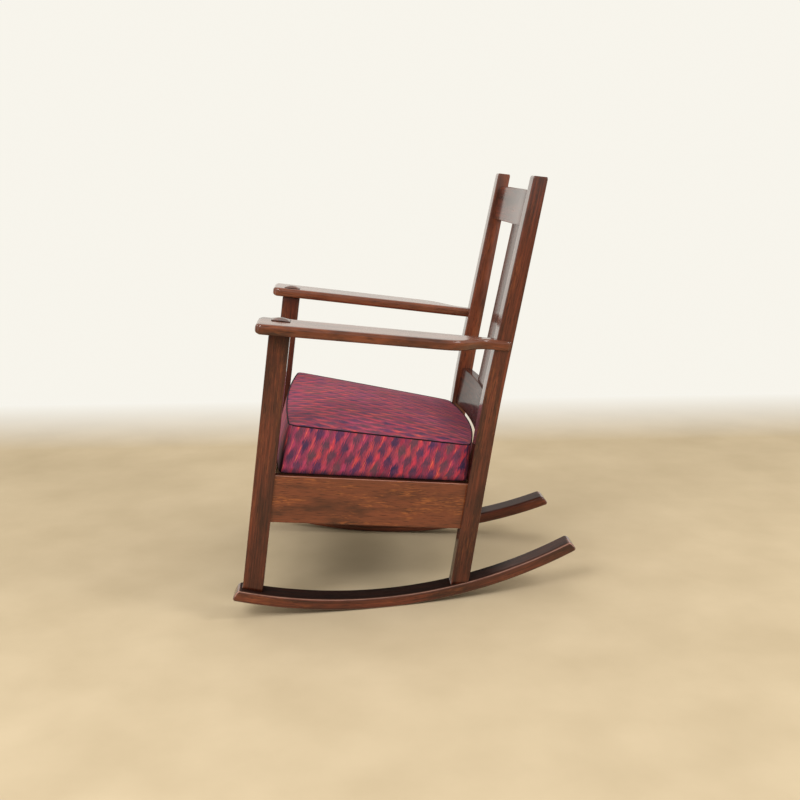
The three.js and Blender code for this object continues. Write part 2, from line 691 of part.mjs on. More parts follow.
function slatSolid(index, grow = 0) {
  const y = slatY(index);
  const reach = frameOuterX(y) - seatFrameThick / 2;
  return solid(block([-reach - grow, reach + grow],
    [y - slatWidth / 2 - grow, y + slatWidth / 2 + grow], [slatBottomZ - grow, slatTopZ + grow]));
}

// The cut for a slat runs out through the underside of the bar.
function slatNotch(index) {
  const y = slatY(index);
  const reach = frameOuterX(y) - seatFrameThick / 2 + jointGap;
  return solid(block([-reach, reach], [y - slatWidth / 2 - jointGap, y + slatWidth / 2 + jointGap],
    [frameBottomZ - slatLift, slatTopZ + jointGap]));
}

class Helix extends THREE.Curve {
  constructor(radius, height, turns) {
    super();
    Object.assign(this, { radius, height, turns });
  }

  getPoint(t, target = new THREE.Vector3()) {
    const angle = t * this.turns * Math.PI * 2;
    return target.set(this.radius * Math.cos(angle), this.radius * Math.sin(angle), t * this.height);
  }
}

function springSolid(row, column) {
  const y = slatY(row);
  const spread = frameOuterX(y) - seatFrameThick - springRadius - springWallGap;
  const x = (column - (springsPerSlat - 1) / 2) * spread * 2 / (springsPerSlat - 1);
  const wire = springWire / 2;
  const bottom = slatTopZ + jointGap + wire;
  const underBurlap = cushionTopZ(y + springRadius + wire) - burlapDrop - burlapThick;
  const height = underBurlap - jointGap - wire - bottom;
  const section = new THREE.Shape().absarc(0, 0, wire, 0, Math.PI * 2, false);
  const geometry = new THREE.ExtrudeGeometry(section, {
    steps: springTurns * springStepsPerTurn, curveSegments: 3, bevelEnabled: false,
    extrudePath: new Helix(springRadius, height, springTurns),
  });
  return solid(geometry.translate(x, y, bottom));
}

function dustCover() {
  const rows = [frameFrontY + seatFrameThick + seatGap, frameRearY - seatFrameThick - seatGap];
  const reach = (at) => frameOuterX(at) - seatFrameThick - seatGap;
  const plan = new THREE.Shape([
    new THREE.Vector2(-reach(rows[0]), rows[0]), new THREE.Vector2(reach(rows[0]), rows[0]),
    new THREE.Vector2(reach(rows[1]), rows[1]), new THREE.Vector2(-reach(rows[1]), rows[1]),
  ]);
  return solid(boardUp(plan, frameBottomZ + jointGap, frameBottomZ + jointGap + coverThick));
}

// ---- Assembly -----------------------------------------------------------------------

// A mesh placed by its own centre, with its geometry around that centre.
function piece(group, name, body, material) {
  const { vertProperties, triVerts, numProp } = body.getMesh();
  const positions = new Float32Array(triVerts.length * 3);
  triVerts.forEach((vertex, i) => {
    for (let axis = 0; axis < 3; axis++) positions[i * 3 + axis] = vertProperties[vertex * numProp + axis];
  });
  const geometry = new THREE.BufferGeometry();
  geometry.setAttribute('position', new THREE.BufferAttribute(positions, 3));
  geometry.computeBoundingBox();
  const centre = geometry.boundingBox.getCenter(new THREE.Vector3());
  geometry.translate(-centre.x, -centre.y, -centre.z);
  geometry.computeVertexNormals();
  const mesh = new THREE.Mesh(geometry, material);
  mesh.name = name;
  mesh.position.copy(centre);
  group.add(mesh);
}

const sides = [['left', 1], ['right', -1]];
const ends = [['front', -1], ['rear', 1]];

function rockerScrewCuts(grow) {
  return sides.flatMap(([, side]) => Object.values(rockerScrewSpots)
    .map(({ x, y }) => rockerScrew(side, y, x, grow)));
}

function buildRockers() {
  const group = new THREE.Group();
  const cuts = rockerScrewCuts(jointGap).map(solid);
  for (const [word, side] of sides) {
    piece(group, `rocker_${word}`, cut(solid(rockerBlank(side)), cuts), oak);
    for (const [end, { x, y }] of Object.entries(rockerScrewSpots)) {
      piece(group, `rocker_screw_${end}_${word}`, solid(rockerScrew(side, y, x)), screwSteel);
    }
  }
  return group;
}

// Every solid that others are cut around, grown by the joint gap.
function grownPosts() {
  return sides.flatMap(([, side]) => [
    solid(frontPostBlank(side, jointGap)), solid(rearPostBlank(side, jointGap))]);
}

function buildPosts(group) {
  const feet = solid(belowRockers());
  const screws = rockerScrewCuts(jointGap).map((geometry) => solid(geometry.applyMatrix4(standUp)));
  const crossTenons = [frontRailParts(jointGap), rearRailParts(jointGap),
    crestParts(jointGap), lowerBackParts(jointGap)].map((rail) => rail.tenon);
  for (const [word, side] of sides) {
    const cuts = [feet, ...screws, ...crossTenons, sideRailParts(side, jointGap).tenon];
    const front = solid(frontPostBlank(side)).add(armTenon(side));
    piece(group, `front_post_${word}`, cut(front, cuts), oak);
    const armCuts = [armScrew(side, jointGap), armPlug(side, jointGap)];
    piece(group, `rear_post_${word}`, cut(solid(rearPostBlank(side)), [...cuts, ...armCuts]), oak);
  }
}

function blockScrewCuts(grow) {
  return sides.flatMap(([, side]) => ends.flatMap(([, end]) => ['side', 'cross']
    .map((into) => blockScrew(side, end, into, grow))));
}

function buildRails(group) {
  const posts = grownPosts();
  const screws = blockScrewCuts(jointGap);
  const rails = [['front_rail', frontRailParts()], ['rear_rail', rearRailParts()],
    ...sides.map(([word, side]) => [`side_rail_${word}`, sideRailParts(side)])];
  for (const [name, { body, tenon }] of rails) {
    piece(group, name, cut(cut(body, posts).add(tenon), screws), oak);
  }
}

function buildBack(group) {
  const posts = grownPosts();
  const splat = splatBlank(jointGap);
  for (const [name, rail] of [['crest_rail', crestParts(0)], ['lower_back_rail', lowerBackParts(0)]]) {
    piece(group, name, cut(rail.body, posts).add(rail.tenon).subtract(splat), oak);
  }
  piece(group, 'back_splat', splatBlank(), oak);
}

function buildArms(group) {
  for (const [word, side] of sides) {
    const cuts = [armTenon(side, jointGap), solid(rearPostBlank(side, jointGap)), armScrew(side, jointGap)];
    piece(group, `arm_${word}`, cut(armBlank(side), cuts), oak);
    piece(group, `arm_screw_${word}`, armScrew(side), screwSteel);
    piece(group, `arm_screw_plug_${word}`, armPlug(side), oak);
  }
}

// The space that the rails and what lies outside them take up, grown by the joint gap.
function beyondRails() {
  const height = [railBottomZ, railTopZ];
  const frontY = frontPostFrontY + railRecess + railThick + jointGap;
  const rearY = rearPostBackY - railRecess - railThick - jointGap;
  const front = block(fullWidth, [fullDepth[0], frontY], height);
  const rear = block(fullWidth, [rearY, fullDepth[1]], height);
  const flank = (side) => block(
    sided(side, railInnerX(0) - jointGap, railInnerX(0) + 4 * railThick), fullDepth, height);
  return [
    solid(lean(front, { yByZ: frontPostRake })),
    solid(lean(rear, { yByZ: rearPostLowerRake })),
    ...sides.map(([, side]) => solid(lean(flank(side), { xByY: side * sideTaper }))),
  ];
}

function buildSupports(group) {
  const cuts = [...grownPosts(), ...beyondRails(), ...blockScrewCuts(jointGap)];
  for (const [word, side] of sides) {
    for (const [endWord, end] of ends) {
      piece(group, `corner_block_${endWord}_${word}`, cut(cornerBlockBlank(side, end), cuts), secondaryOak);
      for (const into of ['side', 'cross']) {
        piece(group, `block_screw_${endWord}_${word}_${into}`, blockScrew(side, end, into), screwSteel);
      }
    }
    piece(group, `seat_cleat_${word}`, cut(sideCleatBlank(side), cuts), secondaryOak);
  }
  for (const [endWord, end] of ends) {
    piece(group, `seat_cleat_${endWord}`, cut(crossCleatBlank(end), cuts), secondaryOak);
  }
}

function buildSeat() {
  const group = new THREE.Group();
  const rows = Array.from({ length: slatCount }, (_, index) => index);
  const notches = rows.map(slatNotch);
  for (const [word, side] of sides) {
    piece(group, `seat_frame_${word}`, cut(seatFrameSide(side), notches), secondaryOak);
  }
  for (const [word, end] of ends) {
    piece(group, `seat_frame_${word}`, seatFrameCross(end), secondaryOak);
  }
  for (const row of rows) {
    piece(group, `seat_slat_${row + 1}`, slatSolid(row), secondaryOak);
    for (let column = 0; column < springsPerSlat; column++) {
      piece(group, `spring_${row + 1}_${column + 1}`, springSolid(row, column), springSteel);
    }
  }
  piece(group, 'dust_cover', dustCover(), cambric);
  piece(group, 'burlap', burlapSolid(), burlap);
  piece(group, 'cushion', cushionSolid(), fabric);
  return group;
}

// The rockers' middle, fore and aft, goes over the origin.
const lowestPointY = (rockerFrontReach - rockerRearReach) / 2;

const rockingChair = new THREE.Group();
rockingChair.name = 'rocking_chair';
const rockers = buildRockers();
const chair = new THREE.Group();
for (const build of [buildPosts, buildRails, buildBack, buildArms, buildSupports]) build(chair);
chair.add(buildSeat());
chair.applyMatrix4(tiltBack);
for (const group of [rockers, chair]) {
  group.position.y = lowestPointY;
  rockingChair.add(group);
}

export default rockingChair;
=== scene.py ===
import json
import math

import bpy
import numpy as np
from mathutils import Matrix


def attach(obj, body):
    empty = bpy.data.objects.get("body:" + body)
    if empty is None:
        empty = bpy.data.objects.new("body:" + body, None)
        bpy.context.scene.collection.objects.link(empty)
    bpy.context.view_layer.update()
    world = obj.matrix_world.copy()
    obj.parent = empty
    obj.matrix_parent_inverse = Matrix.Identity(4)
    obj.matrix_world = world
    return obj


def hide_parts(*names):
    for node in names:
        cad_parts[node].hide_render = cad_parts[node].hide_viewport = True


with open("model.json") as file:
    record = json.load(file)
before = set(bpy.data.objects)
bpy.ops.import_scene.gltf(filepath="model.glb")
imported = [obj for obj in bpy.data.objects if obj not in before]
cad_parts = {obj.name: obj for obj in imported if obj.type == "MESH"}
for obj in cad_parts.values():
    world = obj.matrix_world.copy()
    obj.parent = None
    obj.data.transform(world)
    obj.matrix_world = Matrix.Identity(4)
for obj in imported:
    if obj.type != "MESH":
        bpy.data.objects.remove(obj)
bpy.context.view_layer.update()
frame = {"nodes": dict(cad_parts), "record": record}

print("frame loaded:", len(frame["nodes"]), "nodes")

# Two frames are used, both in metres. The row frame is the one everything is shown in. The upright
# frame is the chair before it leans back on its rockers: boards are straight along its axes there.
restLean = math.asin(frame["record"]["behaviour"]["joints"][0]["axis"][1])
contactY = frame["record"]["mounts"][0]["pos_m"][1]  # where the rockers touch the floor
sides = {"left": 1, "right": -1}
xAxis, yAxis, zAxis = 0, 1, 2


def upright(points):
    # turns the row frame about the contact line by the rest lean
    y, z = points[:, 1] - contactY, points[:, 2]
    c, s = math.cos(restLean), math.sin(restLean)
    return np.stack([points[:, 0], y * c - z * s, y * s + z * c], 1)


def leanedBack(points):
    # the inverse of upright
    y, z = points[:, 1], points[:, 2]
    c, s = math.cos(restLean), math.sin(restLean)
    return np.stack([points[:, 0], contactY + y * c + z * s, z * c - y * s], 1)


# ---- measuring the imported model


def nodeMesh(node, turned=True):
    # a CAD node's points, upright unless told otherwise, and its edges as pairs of indices
    mesh = frame["nodes"][node].data
    points = np.empty(len(mesh.vertices) * 3)
    mesh.vertices.foreach_get("co", points)
    ends = np.empty(len(mesh.edges) * 2, int)
    mesh.edges.foreach_get("vertices", ends)
    points = points.reshape(-1, 3)
    return (upright(points) if turned else points), ends.reshape(-1, 2)


def cutAt(node, axis, level, turned=True):
    # where the node's edges cross the plane axis = level
    points, ends = nodeMesh(node, turned)
    a, b = points[ends[:, 0]], points[ends[:, 1]]
    crossing = (a[:, axis] - level) * (b[:, axis] - level) < 0
    a, b = a[crossing], b[crossing]
    share = (level - a[:, axis]) / (b[:, axis] - a[:, axis])
    return a + (b - a) * share[:, None]


def sectionRow(node, along, up, across, level):
    # one section's limits: its height, then its thickness at the lower and at the upper edge
    points = cutAt(node, along, level)
    low, high = points[:, up].min(), points[:, up].max()
    lower = points[points[:, up] < low + 0.001, across]
    upper = points[points[:, up] > high - 0.001, across]
    return [low, high, lower.min(), lower.max(), upper.min(), upper.max()]


def limitsAlong(node, along, up, across, levels, degree):
    # each limit of the section as a polynomial of the place along the board
    rows = [sectionRow(node, along, up, across, level) for level in levels]
    fitted = np.polyfit(levels, np.array(rows), degree)
    return lambda place: [np.polyval(fitted[:, k], place) for k in range(6)]


# ---- shapes


def latticeLines(half, radius, flatSteps, roundSteps):
    # even lines over the flat, then lines at radius times the tangent of even angles up to 45 degrees
    arc = radius * np.tan(np.linspace(0, math.pi / 4, roundSteps + 1))
    flat = np.linspace(radius - half, half - radius, flatSteps + 1)
    return np.concatenate([radius - half - arc[:0:-1], flat, half - radius + arc[1:]])


def roundedBlock(size, radii, flatSteps, roundSteps=4):
    # Six grids on the faces of a box. Each point is pulled on to the rounding: the nearest point of the
    # inner box plus radius times the direction away from it. Gives the points, the lattice points
    # before the pull, the faces, the axis of each face and how far each point is on to an arris.
    half, radii = np.array(size) / 2, np.broadcast_to(radii, 3).astype(float)
    lines = [latticeLines(h, r, n, roundSteps) for h, r, n in zip(half, radii, flatSteps)]
    grids, quads, axes, count = [], [], [], 0
    for axis in range(3):
        b, c = (axis + 1) % 3, (axis + 2) % 3
        for side in (-1, 1):
            grid = np.empty((len(lines[b]), len(lines[c]), 3))
            grid[..., axis], grid[..., b], grid[..., c] = side * half[axis], lines[b][:, None], lines[c]
            index = count + np.arange(grid[..., 0].size).reshape(grid.shape[:2])
            quad = np.stack([index[:-1, :-1], index[1:, :-1], index[1:, 1:], index[:-1, 1:]], -1)
            quad = quad.reshape(-1, 4)
            quads.append(quad[:, ::side])
            grids.append(grid.reshape(-1, 3))
            axes.append(np.full(len(quad), axis * side + (side < 0) * -3))
            count += index.size
    lattice, faces = np.concatenate(grids), np.concatenate(quads)
    keys = np.round(lattice * 1e7).astype(np.int64)
    _, first, inverse = np.unique(keys, axis=0, return_index=True, return_inverse=True)
    lattice, faces = lattice[first], inverse.ravel()[faces]
    core = np.clip(lattice, radii - half, half - radii)
    away = (lattice - core) / radii
    length = np.linalg.norm(away, axis=1, keepdims=True)
    arris = (1 - np.abs(away).max(1) / length[:, 0]) / (1 - math.sqrt(0.5))
    return core + away / length * radii, lattice, faces, np.concatenate(axes), np.clip(arris, 0, 1)


def fitBetween(place, half, low, high, margin):
    # carries -half..half on to low..high, keeping true distances within margin of either end
    fromLow, fromHigh = place + half, half - place
    stretched = low + margin + (high - low - 2 * margin) * (fromLow - margin) / (2 * half - 2 * margin)
    nearEnds = np.where(fromHigh < margin, high - fromHigh, stretched)
    return np.where(fromLow < margin, low + fromLow, nearEnds)


def roundCorners(p, q, halfP, halfQ, radius):
    # in plan, squares of that size at the corners are drawn in to quarter circles
    overP, overQ = np.abs(p) - (halfP - radius), np.abs(q) - (halfQ - radius)
    inside = (overP > 0) & (overQ > 0)
    reach = np.maximum(overP, overQ) / np.maximum(np.hypot(overP, overQ), 1e-9)
    newP = np.where(inside, np.sign(p) * (halfP - radius + overP * reach), p)
    newQ = np.where(inside, np.sign(q) * (halfQ - radius + overQ * reach), q)
    return newP, newQ


def outward(points, faces):
    # faces turned over if the volume that they enclose comes out negative
    a, b, c, d = (points[faces[:, k]] for k in range(4))
    volume = (np.cross(b - a, c - a) * a).sum() + (np.cross(c - a, d - a) * a).sum()
    return faces if volume > 0 else faces[:, ::-1]


def addPiece(name, points, faces, material, body, nodes=(), vectors=None, numbers=None):
    # a mesh object in the row frame, riding on its body, with its named point attributes
    mesh = bpy.data.meshes.new(name)
    mesh.from_pydata(points.tolist(), [], faces.tolist())
    mesh.polygons.foreach_set("use_smooth", np.ones(len(faces), bool))
    for kind, field, values in (("FLOAT_VECTOR", "vector", vectors), ("FLOAT", "value", numbers)):
        for key, value in (values or {}).items():
            attribute = mesh.attributes.new(key, kind, "POINT")
            attribute.data.foreach_set(field, np.ravel(value).astype(np.float32))
    mesh.materials.append(material)
    piece = bpy.data.objects.new(name, mesh)
    bpy.context.scene.collection.objects.link(piece)
    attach(piece, body)
    if nodes:
        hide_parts(*nodes)
    return piece


# ---- materials


def linearColour(code, alpha=1.0):
    # an sRGB hex value turned to linear
    part = np.array([int(code[k:k + 2], 16) for k in (1, 3, 5)]) / 255
    part = np.where(part <= 0.04045, part / 12.92, ((part + 0.055) / 1.055) ** 2.4)
    return (*part.tolist(), alpha)


def addNode(tree, kind, inputs=None, stops=None, **settings):
    # adds a node, sets it, and links or fills its inputs; stops are a ramp's places and colours
    node = tree.nodes.new(kind)
    for key, value in settings.items():
        setattr(node, key, value)
    if stops:
        ramp = node.color_ramp.elements
        while len(ramp) < len(stops):
            ramp.new(0.5)
        for element, (place, code) in zip(ramp, stops):
            element.position, element.color = place, linearColour(code)
    for key, value in (inputs or {}).items():
        if isinstance(value, bpy.types.Node):
            value = value.outputs[0]
        if isinstance(value, bpy.types.NodeSocket):
            tree.links.new(value, node.inputs[key])
        else:
            node.inputs[key].default_value = value
    return node


def newMaterial(name):
    # an empty material with its shader and output
    material = bpy.data.materials.new(name)
    material.use_nodes = True
    tree = material.node_tree
    tree.nodes.clear()
    shader = addNode(tree, "ShaderNodeBsdfPrincipled")
    addNode(tree, "ShaderNodeOutputMaterial", {"Surface": shader})
    return material, tree, shader


# Quarter-sawn white oak, fumed and stained, under old shellac: straight dark grain, short open pores,
# orange ray flecks, redder and darker patches, painted shade on faces that sit in shadow, dark finish at the
# joints, arrises rubbed back to paler wood and paler still as a painted highlight, and a semi-gloss that is
# broken by the pores.
oakFinish = {
    "grain": [(0.35, "#2a110b"), (0.45, "#472015"), (0.55, "#5f2b1b"), (0.68, "#7d3d27")],
    "brown": "#783f25", "dark": "#2a140b", "fleck": "#a8602f", "wornAndHighlight": "#a87a68", "pore": "#1c0a06",
    "grimeAndShade": "#0c0604",
    "grainWidth": 3.4, "grainLength": 150.0, "bandWidth": 11.0, "bandLength": 300.0,  # mm
    "poreWidth": 1.5, "poreLength": 26.0, "fleckWidth": 2.6, "fleckLength": 20.0,  # pores 4 times coarse
    "roughness": (0.36, 0.50), "specular": 0.1, "coat": 1.0, "coatRoughness": 0.13, "coatIor": 1.45,
}


def streaks(tree, plank, width, length, detail=4.0, distortion=0.0):
    # noise drawn out along the board, its features about length by width in millimetres
    stretch = (1000 / length, 1000 / width, 1000 / width)
    mapped = addNode(tree, "ShaderNodeMapping", {"Vector": plank, "Scale": stretch})
    return addNode(tree, "ShaderNodeTexNoise", {"Vector": mapped, "Scale": 1.0, "Detail": detail,
                                                "Roughness": 0.6, "Distortion": distortion})


def blend(tree, factor, first, second, **settings):
    # one colour over another by the factor
    inputs = {0: factor, 6: first, 7: linearColour(second) if isinstance(second, str) else second}
    return addNode(tree, "ShaderNodeMix", inputs, data_type="RGBA", **settings).outputs[2]


def ranged(tree, value, fromLow, fromHigh, toLow=0.0, toHigh=1.0):
    # the value carried from one range to another, held at its ends
    return addNode(tree, "ShaderNodeMapRange", {"Value": value, "From Min": fromLow, "From Max": fromHigh,
                                                "To Min": toLow, "To Max": toHigh}).outputs[0]


def product(tree, first, second):
    return addNode(tree, "ShaderNodeMath", {0: first, 1: second}, operation="MULTIPLY").outputs[0]


def stainedOak(name, look):
    # the board attribute holds how brown, how flecked, and how dark from grime and painted shade each place
    # is
    material, tree, shader = newMaterial(name)
    plank = addNode(tree, "ShaderNodeAttribute", attribute_name="plank").outputs["Vector"]
    arris = addNode(tree, "ShaderNodeAttribute", attribute_name="arris").outputs["Fac"]
    board = addNode(tree, "ShaderNodeAttribute", attribute_name="board").outputs["Vector"]
    brownness, figure, grimeAndShade = addNode(tree, "ShaderNodeSeparateXYZ", {"Vector": board}).outputs
    grain = streaks(tree, plank, look["grainWidth"], look["grainLength"], 5.0)
    band = streaks(tree, plank, look["bandWidth"], look["bandLength"], 3.0)
    both = addNode(tree, "ShaderNodeMix", {0: 0.5, 2: grain, 3: band}, data_type="FLOAT")
    colour = addNode(tree, "ShaderNodeValToRGB", {"Fac": both}, stops=look["grain"]).outputs[0]
    colour = blend(tree, product(tree, brownness, 0.8), colour, look["brown"])
    blotch = streaks(tree, plank, 45.0, 150.0, 3.0)
    colour = blend(tree, ranged(tree, blotch, 0.47, 0.68, 0.0, 0.75), colour, look["dark"])
    fleck = streaks(tree, plank, look["fleckWidth"], look["fleckLength"], 2.0, 0.7)
    where = streaks(tree, plank, 30.0, 110.0, 2.0)
    fleckMask = ranged(tree, product(tree, fleck, where), 0.29, 0.40, 0.0, 0.5)
    colour = blend(tree, product(tree, fleckMask, figure), colour, look["fleck"])
    pore = streaks(tree, plank, look["poreWidth"], look["poreLength"], 1.0)
    poreMask = ranged(tree, pore, 0.56, 0.68, 0.0, 0.6)
    colour = blend(tree, poreMask, colour, look["pore"])
    # arrises paler from wear, and paler again as a painted highlight along the edges that catch the light
    rubAndGlint = streaks(tree, plank, 7.0, 60.0, 4.0)
    colour = blend(tree, ranged(tree, product(tree, rubAndGlint, arris), 0.22, 0.5, 0.0, 0.8), colour, look["wornAndHighlight"])
    # grime, and painted shade where a board sits in shadow, darken the colour
    colour = blend(tree, product(tree, grimeAndShade, 0.9), colour, look["grimeAndShade"])
    rough = ranged(tree, blotch, 0.3, 0.7, *look["roughness"])
    rough = addNode(tree, "ShaderNodeMath", {0: grimeAndShade, 1: 0.4, 2: rough}, operation="MULTIPLY_ADD").outputs[0]
    coat = ranged(tree, grimeAndShade, 0.0, 1.0, look["coat"], 0.0)
    height = addNode(tree, "ShaderNodeMath", {0: poreMask, 1: grain}, operation="SUBTRACT")
    bump = addNode(tree, "ShaderNodeBump", {"Height": height, "Strength": 0.18, "Distance": 0.0006},
                   invert=True)
    for key, value in (("Base Color", colour), ("Roughness", rough), ("Coat Weight", coat),
                       ("Normal", bump.outputs[0])):
        tree.links.new(value, shader.inputs[key])
    shader.inputs["Specular IOR Level"].default_value = look["specular"]
    shader.inputs["Coat Roughness"].default_value = look["coatRoughness"]
    shader.inputs["Coat IOR"].default_value = look["coatIor"]
    return material


# Woven flame-stitch upholstery cloth: lozenges of dyed warp in staggered rows, leaning over, feathered
# along the warp because each bundle of threads is a little out of step, under a soft pink sheen.
clothWeave = {
    "repeatAcross": 40.0, "repeatAlong": 47.0, "slant": 0.20, "bundle": 1.6, "feather": 17.0,  # mm
    "darkAcross": 24.0, "darkAlong": 44.0,  # size of a dark lozenge, mm
    "dark": [(0.1, "#35284a"), (0.35, "#4f3346"), (0.6, "#5b3d46"), (0.85, "#452c50")],
    "red": [(0.1, "#8a2b42"), (0.35, "#c1384c"), (0.6, "#bb4643"), (0.85, "#a5395c")],
    "dull": "#703349", "streak": "#dd6c48", "haze": "#8e3c54", "shadeTone": "#0d0509",
    "roughness": 0.85, "sheen": 0.22, "sheenRoughness": 0.4, "sheenTint": "#d8909c",
}


def flameStitchCloth(name, look):
    # The measure is the distance across over half a lozenge's width plus that along over half its length,
    # from the nearer of the two staggered sets of dark lozenges: 0 at a middle and 1 at an outline.
    material, tree, shader = newMaterial(name)

    def maths(operation, *values):
        return addNode(tree, "ShaderNodeMath", dict(enumerate(values)), operation=operation).outputs[0]

    uv = addNode(tree, "ShaderNodeUVMap", uv_map="cloth")
    across, along, _ = addNode(tree, "ShaderNodeSeparateXYZ", {"Vector": uv}).outputs
    leaned = maths("MULTIPLY_ADD", along, -look["slant"], across)
    bundleIndex = maths("FLOOR", maths("MULTIPLY", leaned, 1000 / look["bundle"]))
    step = addNode(tree, "ShaderNodeTexWhiteNoise", {"W": bundleIndex}, noise_dimensions="1D")
    drift = addNode(tree, "ShaderNodeTexNoise", {"Vector": uv, "Scale": 12.0, "Detail": 2.0})
    moved = maths("MULTIPLY_ADD", step.outputs["Value"], look["feather"] / 1000, along)
    moved = maths("MULTIPLY_ADD", drift, 0.008, moved)
    cellU = maths("MULTIPLY", leaned, 1000 / look["repeatAcross"])
    cellV = maths("MULTIPLY", moved, 1000 / look["repeatAlong"])
    scaleU = 2 * look["repeatAcross"] / look["darkAcross"]
    scaleV = 2 * look["repeatAlong"] / look["darkAlong"]
    near = maths("ADD", maths("MULTIPLY", maths("PINGPONG", cellU, 0.5), scaleU),
                 maths("MULTIPLY", maths("PINGPONG", cellV, 0.5), scaleV))
    measure = maths("MINIMUM", near, maths("SUBTRACT", (scaleU + scaleV) / 2, near))
    isRed = ranged(tree, measure, 0.7, 1.15)
    # lozenge centres lie at whole and at half repeats, so the doubled places round to their own numbers
    sumIndex = maths("ROUND", maths("ADD", cellU, cellV))
    offIndex = maths("ROUND", maths("SUBTRACT", cellU, cellV))
    darkCell = addNode(tree, "ShaderNodeCombineXYZ", {0: sumIndex, 1: offIndex, 2: 3.0})
    sumFloor = maths("FLOOR", maths("ADD", cellU, cellV))
    offFloor = maths("FLOOR", maths("SUBTRACT", cellU, cellV))
    redCell = addNode(tree, "ShaderNodeCombineXYZ", {0: sumFloor, 1: offFloor, 2: 7.0})
    darkPick = addNode(tree, "ShaderNodeTexWhiteNoise", {"Vector": darkCell}, noise_dimensions="3D")
    redPick = addNode(tree, "ShaderNodeTexWhiteNoise", {"Vector": redCell}, noise_dimensions="3D")
    dark = addNode(tree, "ShaderNodeValToRGB", {"Fac": darkPick.outputs["Value"]}, stops=look["dark"])
    red = addNode(tree, "ShaderNodeValToRGB", {"Fac": redPick.outputs["Value"]}, stops=look["red"])
    colour = blend(tree, isRed, dark, red)
    # the red dulls to its left, and an orange thread or two runs up its right-hand edge
    inCell = maths("FRACT", maths("MULTIPLY", cellU, 2.0))
    dull = product(tree, ranged(tree, inCell, 0.6, 0.25, 0.0, 0.9), isRed)
    colour = blend(tree, dull, colour, look["dull"])
    edge = maths("COMPARE", inCell, 0.64, 0.035)
    some = ranged(tree, redPick.outputs["Color"], 0.3, 0.7, 0.0, 0.85)
    hazeNoise = addNode(tree, "ShaderNodeTexNoise", {"Vector": uv, "Scale": 45.0, "Detail": 3.0})
    short = product(tree, ranged(tree, hazeNoise, 0.42, 0.52), some)
    colour = blend(tree, product(tree, product(tree, edge, isRed), short), colour, look["streak"])
    colour = blend(tree, ranged(tree, hazeNoise, 0.42, 0.66, 0.25, 0.0), colour, look["haze"])
    threads = addNode(tree, "ShaderNodeMapping", {"Vector": uv, "Scale": (700.0, 110.0, 1.0)})
    slub = addNode(tree, "ShaderNodeTexNoise", {"Vector": threads, "Scale": 1.0, "Detail": 3.0})
    shade = ranged(tree, slub, 0.3, 0.7, 0.75, 1.2)
    colour = blend(tree, 1.0, colour, shade, blend_type="MULTIPLY")
    # painted shade at the cushion's foot and low on its front corners
    paintedShade = addNode(tree, "ShaderNodeAttribute", attribute_name="paintedShade").outputs["Fac"]
    colour = blend(tree, paintedShade, colour, look["shadeTone"])
    bump = addNode(tree, "ShaderNodeBump", {"Height": slub, "Strength": 0.35, "Distance": 0.0005})
    tree.links.new(colour, shader.inputs["Base Color"])
    tree.links.new(bump.outputs[0], shader.inputs["Normal"])
    for key, value in (("Roughness", look["roughness"]), ("Sheen Weight", look["sheen"]),
                       ("Sheen Roughness", look["sheenRoughness"]),
                       ("Sheen Tint", linearColour(look["sheenTint"])),
                       ("Specular IOR Level", 0.25)):
        shader.inputs[key].default_value = value
    return material


# Cotton piping cord under bias-cut cloth: near-black wine, dark partly as painted shade for the seam's shadow
# lines, with the odd red thread showing on the slant.
def pipingCloth(name):
    material, tree, shader = newMaterial(name)
    place = addNode(tree, "ShaderNodeTexCoord").outputs["Object"]
    patch = addNode(tree, "ShaderNodeTexNoise", {"Vector": place, "Scale": 75.0, "Detail": 3.0})
    tone = addNode(tree, "ShaderNodeValToRGB", {"Fac": patch},
                   stops=[(0.4, "#0d0814"), (0.65, "#1c0b18"), (0.75, "#3a101e")])
    twist = addNode(tree, "ShaderNodeTexNoise", {"Vector": place, "Scale": 900.0, "Detail": 2.0})
    bump = addNode(tree, "ShaderNodeBump", {"Height": twist, "Strength": 0.4, "Distance": 0.0004})
    tree.links.new(tone.outputs[0], shader.inputs["Base Color"])
    tree.links.new(bump.outputs[0], shader.inputs["Normal"])
    shader.inputs["Roughness"].default_value = 0.8
    shader.inputs["Specular IOR Level"].default_value = 0.2
    return material


# Hidden oak, sawn and left bare: pale brown, matt, with fine straight grain drawn along X on every piece.
def sawnOak(name):
    material, tree, shader = newMaterial(name)
    place = addNode(tree, "ShaderNodeTexCoord").outputs["Object"]
    mapped = addNode(tree, "ShaderNodeMapping", {"Vector": place, "Scale": (40.0, 260.0, 300.0)})
    grain = addNode(tree, "ShaderNodeTexNoise", {"Vector": mapped, "Scale": 1.0, "Detail": 5.0})
    tone = addNode(tree, "ShaderNodeValToRGB", {"Fac": grain},
                   stops=[(0.3, "#5d3f27"), (0.5, "#87623f"), (0.75, "#a88459")])
    bump = addNode(tree, "ShaderNodeBump", {"Height": grain, "Strength": 0.4, "Distance": 0.0005})
    tree.links.new(tone.outputs[0], shader.inputs["Base Color"])
    tree.links.new(bump.outputs[0], shader.inputs["Normal"])
    shader.inputs["Roughness"].default_value = 0.75
    return material


# Plain steel: bright where turned for screws, dark where drawn for springs, with fine drawing lines.
def drawnSteel(name, tones, roughness):
    material, tree, shader = newMaterial(name)
    place = addNode(tree, "ShaderNodeTexCoord").outputs["Object"]
    lines = addNode(tree, "ShaderNodeTexNoise", {"Vector": place, "Scale": 700.0, "Detail": 3.0})
    tone = addNode(tree, "ShaderNodeValToRGB", {"Fac": lines}, stops=[(0.3, tones[0]), (0.7, tones[1])])
    rough = addNode(tree, "ShaderNodeMapRange", {"Value": lines, "To Min": roughness - 0.1,
                                                 "To Max": roughness + 0.1})
    tree.links.new(tone.outputs[0], shader.inputs["Base Color"])
    tree.links.new(rough.outputs[0], shader.inputs["Roughness"])
    shader.inputs["Metallic"].default_value = 1.0
    return material


